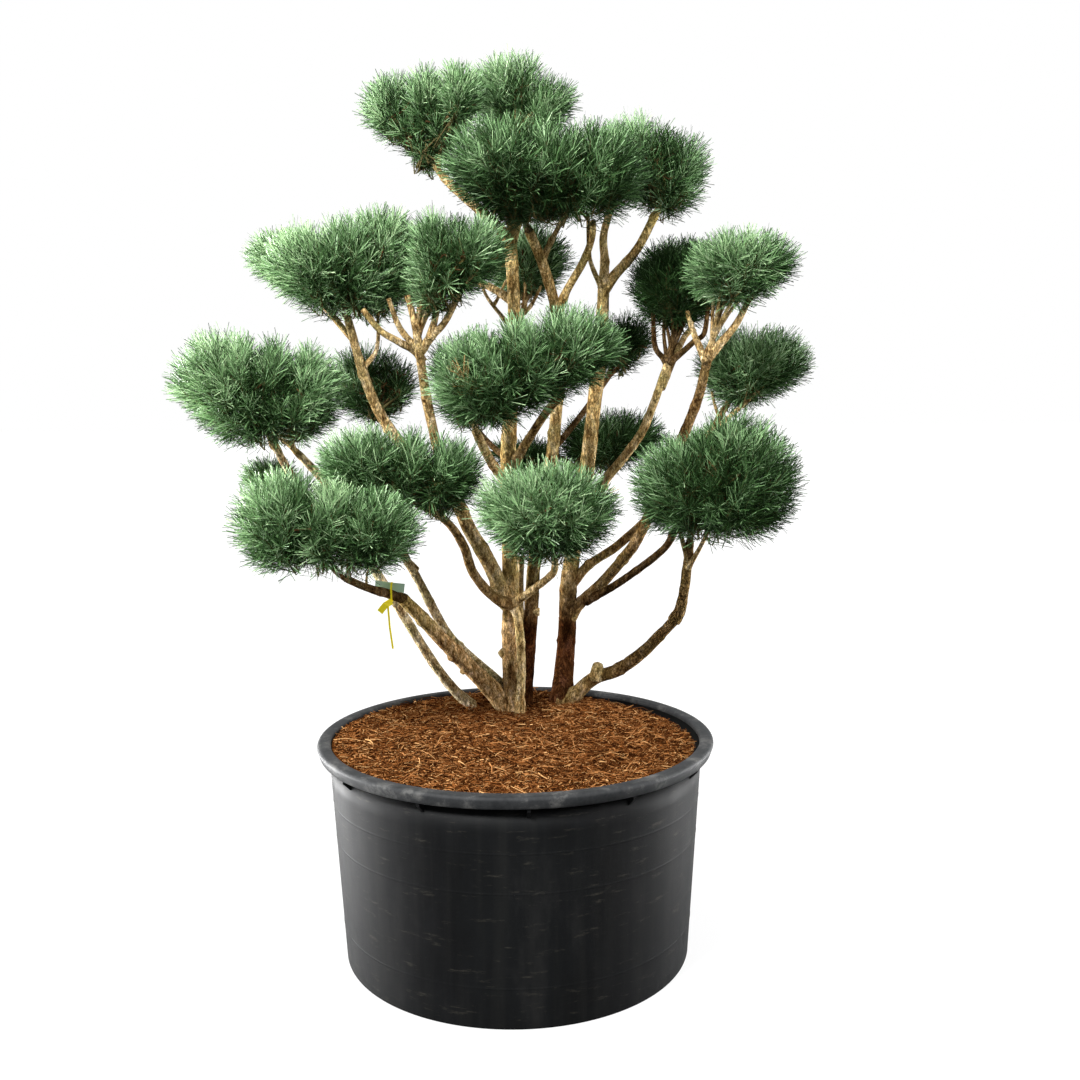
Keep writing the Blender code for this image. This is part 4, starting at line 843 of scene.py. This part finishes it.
def lobe_shoots(space, spaces, random, seed, inner, shade):
    """Tips, headings, outward normals and tones of one layer of a lobe's shoots."""
    count = round(space_area(space) * (INNER_SHOOTS if inner else OUTER_SHOOTS))
    directions = unit(spread_directions(count, seed) + random.normal(0.0, 0.05, (count, 3)))
    least = space.half.min()
    below = np.maximum(0.0, -directions[:, 2])
    if inner:
        skin = 0.5 * NEEDLE_LENGTH + random.uniform(0.12, 0.38, count) * least
    else:
        lumps = field(space_points(space, directions), 0.085, seed)
        skin = (0.45 - 0.30 * below) * NEEDLE_LENGTH + 0.009 * (1.0 - lumps) + random.uniform(0.0, 0.016, count)
    tips = space_points(space, directions, np.minimum(skin, 0.8 * least))
    outward, root = fan_field(spaces, tips)
    flat = outward * np.array([1.0, 1.0, 0.6])
    lift = np.array([0.0, 0.0, 0.20])
    heading = unit(0.55 * unit(tips - root) + 0.45 * flat + lift + random.normal(0.0, 0.18, (count, 3)))
    # Shoots of the inner layer take painted shade
    return tips, heading, outward, shoot_tones(outward, tips, shade + (0.60 if inner else 0.0), random)


def fan_field(spaces, tips):
    """Outward normals and fan roots at the tips, blended smoothly from lobe to lobe."""
    total, outward, root = 0.0, 0.0, 0.0
    for space in spaces:
        weight = np.exp(-BLEND_SHARPNESS * depth_in(space, tips))[:, None]
        low = space.centre + space.pull - np.array([0.0, 0.0, 0.85 * space.half[2]])
        total = total + weight
        outward = outward + weight * unit((tips - space.centre) / space.half ** 2)
        root = root + weight * low
    return unit(outward), root / total


def room_left(start, end):
    """The share of each needle that stays within its small allowance round the solids' box."""
    low, high = np.array(solid_box[0]) - NEEDLES_PROUD, np.array(solid_box[1]) + NEEDLES_PROUD
    above = np.where(end > high, (high - start) / np.maximum(end - start, 1e-6), 1.0)
    below = np.where(end < low, (low - start) / np.minimum(end - start, -1e-6), 1.0)
    return np.minimum(above, below).min(axis=-1, keepdims=True).clip(0.2, 1.0)


def needles_on(tips, heading, outward, tones, each, random):
    """Straight flat blades round each shoot: points, triangles and a tone for each triangle."""
    count = len(tips)
    share = (np.arange(each) + random.uniform(0.0, 1.0, (count, each))) / each
    share = 1.0 - share ** 1.35
    foot = tips[:, None] - heading[:, None] * (SHOOT_LENGTH * (1.0 - share))[:, :, None]
    helper = unit(np.cross(heading, random.normal(0.0, 1.0, (count, 3))))
    other = np.cross(heading, helper)
    turn = np.arange(each) * GOLDEN_ANGLE + random.uniform(0.0, 6.28, (count, 1))
    turn = turn + random.normal(0.0, 0.3, (count, each))
    lean = np.radians(66.0 - 32.0 * share + random.normal(0.0, 10.0, (count, each)))
    radial = helper[:, None] * np.cos(turn)[:, :, None] + other[:, None] * np.sin(turn)[:, :, None]
    axis = heading[:, None]
    way = axis * np.cos(lean)[:, :, None] + radial * np.sin(lean)[:, :, None]
    length = NEEDLE_LENGTH * random.normal(1.0, 0.10, (count, each, 1)).clip(0.7, 1.25)
    facing = outward[:, None] + 1.5 * random.normal(0.0, 1.0, (count, each, 3))
    across = unit(np.cross(way, facing)) * 0.5 * NEEDLE_WIDTH
    curve = (axis - way * np.sum(axis * way, axis=-1, keepdims=True)) * random.uniform(0.05, 0.40, (count, each, 1))
    length = length * room_left(foot, foot + unit(way + curve) * length)
    tip = foot + unit(way + curve) * length
    narrow = across * NEEDLE_FOOT_WIDTH
    points = np.stack([foot - narrow, foot + narrow, tip - across, tip + across], axis=2)
    base = (np.arange(count * each) * 4)[:, None, None]
    faces = base + np.array([[0, 1, 2], [2, 1, 3]])[None]
    dry = len(NEEDLE_TONES) - 1
    # The lower whorls of each shoot take painted shade; the spread on top is random tone
    looks = tones[:, None] + 0.8 * (share < SHADED_LOWER_WHORLS) + random.normal(0.10, 1.25, (count, each))
    looks = np.round(looks).astype(int)
    looks = np.where(tones[:, None] == dry, dry, np.clip(looks, 0, dry - 1))
    return points.reshape(-1, 3), faces.reshape(-1, 3), np.repeat(looks.ravel(), 2)


def shoot_tones(outward, tips, shade, random):
    """Painted light and shade: pale on the sunny top and left, dark underneath, inside, at the back and to the right;
    a few dry.
    """
    light = outward @ np.array([-0.25, -0.20, 0.34]) + 0.30 * field(tips, 0.06, 7)
    light = light - DARKER_TO_THE_RIGHT * tips[:, 0] + random.normal(0.0, 0.24, len(tips)) - shade
    steps = np.array([0.68, 0.30, -0.02, -0.36])
    tones = (light[:, None] < steps[None]).sum(axis=1) + 0.9 * (light < DEEPEST_SHADE)
    tones[random.uniform(0.0, 1.0, len(tips)) < 0.0015] = len(NEEDLE_TONES) - 1
    return tones


def boughlets(space, foot, rise, radius, turn, random):
    """Forks from the pad's stem into a lobe: their feet, bends and ends, and their tubes."""
    angle = np.arange(FORKS) * 2.0 * math.pi / FORKS + turn
    spread = np.stack([FORK_REACH * np.cos(angle), FORK_REACH * np.sin(angle), np.full(FORKS, FORK_DROP)], axis=1)
    ends = space_points(space, np.concatenate([spread, [[0.05, 0.0, 0.25]]]))
    feet = np.repeat((foot - rise * 0.012)[None], len(ends), axis=0)
    gap = np.linalg.norm(ends - feet, axis=1, keepdims=True)
    middles = feet + rise * 0.35 * gap + 0.15 * (ends - feet) + random.normal(0.0, 0.010, ends.shape)
    wood = tubes(feet, middles, ends, np.full(len(ends), 0.72 * radius), np.full(len(ends), 0.42 * radius), 7, 8)
    shares = np.linspace(0.35, 1.0, 6)[None, :, None]
    along = ((1 - shares) ** 2 * feet[:, None] + 2 * shares * (1 - shares) * middles[:, None]
             + shares ** 2 * ends[:, None])
    return wood, along.reshape(-1, 3)


def build_pad(pad, number):
    """One mass: boughlets fork from the stem, twigs from them, and shoots with needles from the twigs."""
    random = np.random.default_rng(SEED + 1000 + number)
    limb = next(limb for limb in LIMBS if limb.name == pad.bough)
    stem = [np.array(place) for place in pad_stem(pad)]
    stem_radius = min(STEM_RADIUS, STEM_TO_LIMB * limb.tip_radius)
    lobes = pad_spaces(pad)
    spaces = bridged(lobes)
    others = [space for other in PADS if other.name != pad.name for space in pad_spaces(other)]
    middle = 2.0 * stem[1] - 0.5 * (stem[0] + stem[2]) if pad.stem else 0.5 * (stem[0] + stem[1])
    foot_radius = 1.25 * stem_radius if pad.stem else limb.tip_radius
    wood = [tubes(stem[0][None], middle[None], stem[-1][None], np.array([foot_radius]),
                  np.array([stem_radius]), 9, 10)]
    rise = unit(stem[-1] - stem[-2])
    forks = []
    for index, space in enumerate(lobes):
        made, along = boughlets(space, stem[-1], rise, stem_radius, number + index, random)
        wood.append(made)
        forks.append(along)
    barked = sum(len(part[1]) for part in wood)
    forks = np.concatenate(forks)
    shoot_parts, needle_parts = [], []
    for index, space in enumerate(spaces):
        twig_count = max(8, round(space_area(space) * TWIGS_PER_AREA))
        twig_ends = space_points(space, unit(spread_directions(twig_count, number + 0.5, 0.97, -0.75)) * 0.62)
        twig_feet = forks[nearest(twig_ends, forks)]
        twig_middles = 0.5 * (twig_feet + twig_ends) + random.normal(0.0, 0.012, twig_ends.shape)
        wood.append(tubes(twig_feet, twig_middles, twig_ends, np.full(twig_count, 0.0035),
                          np.full(twig_count, 0.0024), 5, 5))
        for inner in (False, True):
            tips, heading, outward, tones = lobe_shoots(space, spaces, random, 31 * number + index, inner,
                                                         PAD_SHADE.get(pad.name, 0.0))
            keep = np.ones(len(tips), dtype=bool)
            for other in spaces:
                if other is not space:
                    keep &= depth_in(other, tips) > (0.50 if inner else 0.84)
            for other in others:
                keep &= depth_in(other, tips) > 1.0
            tips, heading, outward, tones = tips[keep], heading[keep], outward[keep], tones[keep]
            bases = tips - heading * SHOOT_LENGTH
            starts = twig_ends[nearest(bases, twig_ends)]
            bends = bases - heading * 0.3 * np.linalg.norm(bases - starts, axis=1, keepdims=True)
            shoot_parts.append(tubes(starts, bends, bases, np.full(len(bases), 0.0024),
                                     np.full(len(bases), 0.0021), 4, 3))
            shoot_parts.append(tubes(bases, bases + heading * 0.5 * SHOOT_LENGTH, tips, np.full(len(bases), 0.0021),
                                     np.full(len(bases), 0.0012), 4, 2))
            each = INNER_NEEDLES if inner else OUTER_NEEDLES
            needle_parts.append(needles_on(tips, heading, outward, tones, each, random))
    points, faces = joined(wood)
    # Forks of pads in much painted shade take the dark bark copy, as painted shade
    bark = "bark_dark_painted_shade" if PAD_SHADE.get(pad.name, 0.0) >= SHADED_FORKS else "bark"
    twigs = piece(f"{pad.name}_twigs", points, faces, (bark, "twig"), np.arange(len(faces)) >= barked)
    points, faces = joined(shoot_parts)
    piece(f"{pad.name}_shoots", points, faces, ("shoot",))
    points, faces = joined([part[:2] for part in needle_parts])
    looks = np.concatenate([part[2] for part in needle_parts])
    piece(f"{pad.name}_needles", points, faces, NEEDLE_TONES, looks, smooth=False)
    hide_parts(pad.name)
    return len(faces)


# Pot and medium

def turned(name, profile, look, steps=POT_STEPS):
    """Turn a closed profile of (radius, height) round Z."""
    angle = np.arange(steps) * 2.0 * math.pi / steps
    radius = np.array([place[0] for place in profile])[:, None]
    height = np.array([place[1] for place in profile])[:, None]
    points = np.stack(np.broadcast_arrays(radius * np.cos(angle), radius * np.sin(angle), height), axis=-1)
    faces = grid_faces(len(profile) + 1, steps) % (len(profile) * steps)
    return piece(name, pressed_oval(points.reshape(-1, 3)), faces, (look,))


def pressed_oval(points):
    """Round shapes pressed a little oval from front to back, the more the higher they are."""
    share = points[:, 2] / POT_TOP
    made = points.copy()
    made[:, 1] = points[:, 1] * (1.0 - OVAL_NARROWING * share) + OVAL_SHIFT * share
    return made


def build_pot():
    rim_foot = POT_TOP - RIM_HEIGHT
    inner_top = WALL_TOP_RADIUS - WALL_THICKNESS
    inner_foot = WALL_FOOT_RADIUS - WALL_THICKNESS
    slope = (WALL_TOP_RADIUS - WALL_FOOT_RADIUS) / (rim_foot - FOOT_EDGE)
    wall = [(WALL_TOP_RADIUS, rim_foot + 0.01)]
    for height in RING_HEIGHTS:
        radius = WALL_FOOT_RADIUS + slope * (height - FOOT_EDGE)
        for step in (0.06, 1.2 * RING_WIDTH, RING_WIDTH):
            wall.append((radius + slope * step, height + step))
        wall += [(radius + RING_RISE, height + 0.3 * RING_WIDTH), (radius + RING_RISE, height - 0.3 * RING_WIDTH)]
        for step in (RING_WIDTH, 1.2 * RING_WIDTH, 0.03):
            wall.append((radius - slope * step, height - step))
    wall.append((WALL_FOOT_RADIUS + 0.03 * slope, FOOT_EDGE + 0.03))
    corner = [(WALL_FOOT_RADIUS - FOOT_EDGE * (1.0 - math.cos(turn)), FOOT_EDGE * (1.0 - math.sin(turn)))
              for turn in np.linspace(0.0, math.pi / 2.0, 7)]
    inside = [(0.001, 0.0), (0.001, WALL_THICKNESS), (inner_foot - FOOT_EDGE, WALL_THICKNESS), (inner_foot, FOOT_EDGE),
              (inner_top, POT_TOP - 1.2 * RIM_EDGE)]
    body = turned("pot_wall", (wall + corner + inside[:1])[::-1], "pot_plastic_worn")
    lining = turned("pot_inside", inside[::-1], "pot_plastic_shaded")
    edge = RIM_EDGE
    rim = [(inner_top, POT_TOP - 1.2 * edge), (inner_top, POT_TOP - 0.6 * edge), (inner_top + 0.15 * edge, POT_TOP - 0.2 * edge),
           (inner_top + 0.6 * edge, POT_TOP)]
    rim += [(RIM_RADIUS - edge * (1.0 - math.sin(turn)), POT_TOP - edge * (1.0 - math.cos(turn)))
            for turn in np.linspace(0.0, math.pi / 2.0, 7)]
    low = RIM_RADIUS - RIM_DRAFT
    rim += [(low, rim_foot + 0.3 * edge), (low - 0.25 * edge, rim_foot), (low - 0.5 * edge, rim_foot),
            (low - 0.6 * edge, rim_foot + edge), (WALL_TOP_RADIUS + 0.002, POT_TOP - 1.2 * edge),
            (WALL_TOP_RADIUS, rim_foot)]
    ring = turned("pot_rim", rim, "pot_rim_worn")
    parts = []
    outside = low - 0.6 * RIM_EDGE
    for index in range(GUSSETS):
        angle = GUSSET_TURN + 2.0 * math.pi * index / GUSSETS
        half = 0.5 * GUSSET_THICKNESS
        drop = rim_foot - GUSSET_DROP
        wall_low = WALL_FOOT_RADIUS + slope * (drop - FOOT_EDGE) - 0.002
        outline = [(wall_low, drop), (outside, rim_foot - GUSSET_TIP_DROP), (outside, rim_foot + 0.010),
                   (WALL_TOP_RADIUS - 0.003, rim_foot + 0.010)]
        corners = np.array([(across, -radius, height) for across in (-half, half) for radius, height in outline])
        count = len(outline)
        turn = np.array(Matrix.Rotation(angle, 3, "Z"))
        fan = [[0, k, k + 1] for k in range(1, count - 1)]
        back = [[count, count + k + 1, count + k] for k in range(1, count - 1)]
        rim_faces = []
        for k in range(count):
            after = (k + 1) % count
            rim_faces += [[k, count + k, count + after], [k, count + after, after]]
        parts.append((corners @ turn.T, np.array(fan + back + rim_faces)))
    points, faces = joined(parts)
    gussets = piece("pot_gussets", pressed_oval(points), faces, ("pot_plastic_worn",), smooth=False)
    for item in (body, lining, ring, gussets):
        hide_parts("pot")


def medium_radius():
    """The wall's inner radius where the leaning surface is lowest."""
    slope = (WALL_TOP_RADIUS - WALL_FOOT_RADIUS) / (POT_TOP - RIM_HEIGHT - FOOT_EDGE)
    lowest_edge = MEDIUM_EDGE - abs(MEDIUM_LEAN) * WALL_TOP_RADIUS
    return WALL_FOOT_RADIUS - WALL_THICKNESS + slope * (lowest_edge - FOOT_EDGE)


def medium_height(x, y):
    """The banked surface: leaning a little at the wall and up to a flat top under the stems."""
    edge = medium_radius()
    share = np.zeros_like(x)
    for step in range(24):
        centre_x, centre_y = BANK_CENTRE[0] * share, BANK_CENTRE[1] * share
        radius = np.hypot(x - centre_x, y - centre_y)
        share = np.clip((edge - radius) / (edge - BANK_RADIUS), 0.0, 1.0) * 0.6 + share * 0.4
    rise = share * share * (3.0 - 2.0 * share)
    return MEDIUM_EDGE + (GROUND - MEDIUM_EDGE) * rise + MEDIUM_LEAN * x * (1.0 - share)


def build_medium():
    random = np.random.default_rng(SEED + 5)
    edge = medium_radius() - 0.001
    radius = np.linspace(0.003, edge, MEDIUM_RINGS)[::-1][:, None]
    angle = np.arange(MEDIUM_SPOKES) * 2.0 * math.pi / MEDIUM_SPOKES
    x, y = radius * np.cos(angle), radius * np.sin(angle)
    z = medium_height(x.ravel(), y.ravel()).reshape(x.shape)
    flat = np.stack([x.ravel(), y.ravel(), np.zeros(x.size)], axis=1)
    z = z + (0.004 * field(flat, 0.035, 3) + 0.003 * field(flat, 0.012, 4)).reshape(x.shape) - 0.004
    top = np.stack([x, y, z], axis=-1)
    foot = top[:1].copy()
    foot[:, :, :2] *= (WALL_FOOT_RADIUS - WALL_THICKNESS - FOOT_EDGE) / edge
    foot[:, :, 2] = WALL_THICKNESS + 0.001
    points = np.concatenate([foot, top]).reshape(-1, 3)
    rows = MEDIUM_RINGS + 1
    faces = grid_faces(rows, MEDIUM_SPOKES)
    triangles = np.concatenate([faces[:, [0, 1, 2]], faces[:, [0, 2, 3]]])
    last = (rows - 1) * MEDIUM_SPOKES
    ring = np.arange(MEDIUM_SPOKES)
    after = (ring + 1) % MEDIUM_SPOKES
    hub = np.array([[0.0, 0.0, WALL_THICKNESS + 0.001], [0.0, 0.0, float(z[-1].mean())]])
    caps = np.concatenate([np.stack([np.full(MEDIUM_SPOKES, len(points)), after, ring], axis=1),
                           np.stack([np.full(MEDIUM_SPOKES, len(points) + 1), last + ring, last + after], axis=1)])
    item = piece("medium_surface", pressed_oval(np.concatenate([points, hub])), np.concatenate([triangles, caps]),
                 ("coir_matted",))
    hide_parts("growing_medium")
    weights = np.array([0.09, 0.18, 0.28, 0.27, 0.18])
    points, faces, tone = strands(FIBRES, 0.028, (0.0006, 0.0014), 3, edge, random, weights)
    piece("medium_fibres", points, faces, FIBRE_TONES, tone)
    weights = np.array([0.05, 0.15, 0.25, 0.30, 0.25])
    points, faces, tone = strands(CRUMBS, 0.010, (0.0007, 0.0016), 1, edge, random, weights)
    piece("medium_crumbs", points, faces, FIBRE_TONES, tone)


def strands(count, usual, thickness, steps, edge, random, weights):
    """Loose strands that lie on the medium, of a usual length: points, faces and a tone for each face."""
    reach = (edge - 0.012) * np.sqrt(random.uniform(0.0, 1.0, count))
    turn = random.uniform(0.0, 2.0 * math.pi, count)
    x, y = reach * np.cos(turn), reach * np.sin(turn)
    length = np.exp(random.normal(math.log(usual), 0.55, count)).clip(0.3 * usual, 4.0 * usual)
    length = np.minimum(length, 1.8 * (edge - reach))
    way = random.uniform(0.0, 2.0 * math.pi, count)
    base = np.stack([x, y, medium_height(x, y) + random.uniform(-0.002, 0.006, count)], axis=1)
    heading = np.stack([np.cos(way), np.sin(way), random.normal(0.0, 0.22, count)], axis=1)
    start = base - 0.5 * heading * length[:, None]
    end = base + 0.5 * heading * length[:, None]
    for ends in (start, end):
        ends[:, :2] *= np.minimum(1.0, (edge - 0.003) / np.maximum(np.hypot(ends[:, 0], ends[:, 1]), 1e-6))[:, None]
        ends[:, 2] = np.maximum(ends[:, 2], medium_height(ends[:, 0], ends[:, 1]) - 0.003)
    middle = base + random.normal(0.0, 0.18, (count, 3)) * length[:, None]
    middle[:, 2] = np.maximum(middle[:, 2], base[:, 2])
    thick = random.uniform(*thickness, count) * (1.0 + 1.0 * (random.uniform(0, 1, count) < 0.2))
    points, faces = tubes(start, middle, end, thick, 0.5 * thick, 3, steps)
    tone = random.choice(len(FIBRE_TONES), count, p=weights)
    return pressed_oval(points), faces, np.repeat(tone, 3 * steps)


# Label and tie

def strip(places, side, width, thickness):
    """A flat band of the given width along places, with square ends."""
    centre = np.array(places, dtype=float)
    along = unit(np.gradient(centre, axis=0))
    across = unit(np.asarray(side) - along * (along @ np.asarray(side))[:, None])
    up = np.cross(along, across)
    ring = [(0.5, 0.5), (-0.5, 0.5), (-0.5, -0.5), (0.5, -0.5)]
    points = np.stack([centre + across * (a * width) + up * (b * thickness) for a, b in ring], axis=1)
    faces = grid_faces(len(centre), 4)
    last = 4 * (len(centre) - 1)
    caps = np.array([[3, 2, 1, 0], [last, last + 1, last + 2, last + 3]])
    return points.reshape(-1, 3), np.concatenate([faces, caps])


def build_tag():
    """A bare card that a strap holds on the low bough, with the strap's lock and tail below it."""
    bend = np.linspace(-1.0, 1.0, 9)
    card = [(TAG_PLACE[0] + 0.5 * CARD_LENGTH * t, TAG_PLACE[1] + 0.004 * t * t, TAG_PLACE[2] - 0.006 * t) for t in bend]
    points, faces = strip(card, (0.35, 0.0, -1.0), CARD_WIDTH, 0.0012)
    piece("label_card", points, faces, ("tag_card",), smooth=False)
    turn = np.linspace(0.0, 2.0 * math.pi, 29)
    loop = [(TIE_PLACE[0], TIE_PLACE[1] + 0.021 * math.sin(a), TIE_PLACE[2] + 0.031 * math.cos(a)) for a in turn]
    low = np.array(TIE_PLACE) - np.array([0.0, 0.018, 0.026])
    fold = [low, low + (-0.018, -0.010, -0.010), low + (-0.036, -0.010, -0.032)]
    tail = [low + (-0.010, -0.012, -0.012), low + (-0.006, -0.012, -0.08), low + (0.002, -0.010, -0.15)]
    parts = [strip(loop, (1.0, 0.0, 0.0), 0.006, 0.0016), strip(fold, (0.7, 0.0, -0.7), 0.020, 0.004),
             strip(tail, (1.0, 0.0, 0.0), 0.006, 0.0014)]
    points, faces = joined(parts)
    piece("label_tie", points, faces, ("tag_tie",), smooth=False)


# Studio

def sky_nodes(tree):
    """White where it is looked at, and a soft sky where it lights: bright above and behind, dim below and in front."""
    background = tree.nodes["Background"]
    axes = tree.nodes.new("ShaderNodeSeparateXYZ")
    tree.links.new(tree.nodes.new("ShaderNodeTexCoord").outputs["Generated"], axes.inputs[0])
    level = node(tree, "ShaderNodeMapRange")
    shade = node(tree, "ShaderNodeMapRange")
    for ranged, low, high in ((level, -1.0, 1.0), (shade, -0.7, 0.3)):
        ranged.inputs["From Min"].default_value = low
        ranged.inputs["From Max"].default_value = high
    tree.links.new(axes.outputs["Z"], level.inputs["Value"])
    tree.links.new(axes.outputs["Y"], shade.inputs["Value"])
    upward = ramp(tree, level.outputs["Result"], ((0.42, (BELOW,)), (0.56, (HORIZON,)), (0.90, (SKY,))))
    backward = ramp(tree, shade.outputs["Result"], ((0.0, (FRONT_SHADE,)), (1.0, (1.0,))))
    lit = mix(tree, 1.0, upward, backward, "MULTIPLY")
    rays = tree.nodes.new("ShaderNodeLightPath")
    tree.links.new(mix(tree, rays.outputs["Is Camera Ray"], lit, (1.0, 1.0, 1.0)), background.inputs["Color"])


def build_studio():
    floor_half = 30.0
    corners = [(-floor_half, -floor_half, 0.0), (floor_half, -floor_half, 0.0), (floor_half, floor_half, 0.0),
               (-floor_half, floor_half, 0.0)]
    piece("studio_floor", corners, [[0, 1, 2, 3]], ("studio_floor",), stage=True)
    world = bpy.data.worlds.new("studio")
    world.use_nodes = True
    sky_nodes(world.node_tree)
    bpy.context.scene.world = world
    for name, place, size, energy in SOFTBOXES:
        light = bpy.data.lights.new(name, "AREA")
        light.energy = energy
        light.size = size
        item = bpy.data.objects.new(name, light)
        item.location = place
        aim = Vector((0.0, 0.1, 1.5)) - Vector(place)
        item.rotation_euler = aim.to_track_quat("-Z", "Y").to_euler()
        bpy.context.scene.collection.objects.link(item)
    view = bpy.context.scene.view_settings
    view.view_transform = "Standard"
    view.look = "None"


def build_camera():
    forward = Vector((math.sin(CAMERA_YAW) * math.cos(CAMERA_PITCH), math.cos(CAMERA_YAW) * math.cos(CAMERA_PITCH),
                      -math.sin(CAMERA_PITCH)))
    level = Vector((math.cos(CAMERA_YAW), -math.sin(CAMERA_YAW), 0.0))
    above = level.cross(forward)
    right = math.cos(CAMERA_ROLL) * level + math.sin(CAMERA_ROLL) * above
    up = -math.sin(CAMERA_ROLL) * level + math.cos(CAMERA_ROLL) * above
    camera = bpy.data.cameras.new("photo_camera")
    camera.sensor_width = SENSOR_MM
    camera.lens = SENSOR_MM * FOCAL_PIXELS / FRAME_PIXELS
    item = bpy.data.objects.new("photo_camera", camera)
    turn = Matrix((right, up, -forward)).transposed()
    item.matrix_world = Matrix.Translation(CAMERA_PLACE) @ turn.to_4x4()
    bpy.context.scene.collection.objects.link(item)
    bpy.context.scene.camera = item


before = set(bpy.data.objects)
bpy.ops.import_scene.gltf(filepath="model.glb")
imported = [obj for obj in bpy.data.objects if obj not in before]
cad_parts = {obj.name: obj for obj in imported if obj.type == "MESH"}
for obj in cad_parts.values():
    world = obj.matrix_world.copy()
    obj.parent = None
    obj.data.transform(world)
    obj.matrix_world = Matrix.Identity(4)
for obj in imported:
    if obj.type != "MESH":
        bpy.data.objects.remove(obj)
solid_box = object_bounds()
build_camera()
build_studio()
for number, limb in enumerate(LIMBS):
    build_limb(limb, number)
build_branches()
build_tag()
triangles = sum(build_pad(pad, number) for number, pad in enumerate(PADS))
print("needle triangles", triangles)
build_pot()
build_medium()
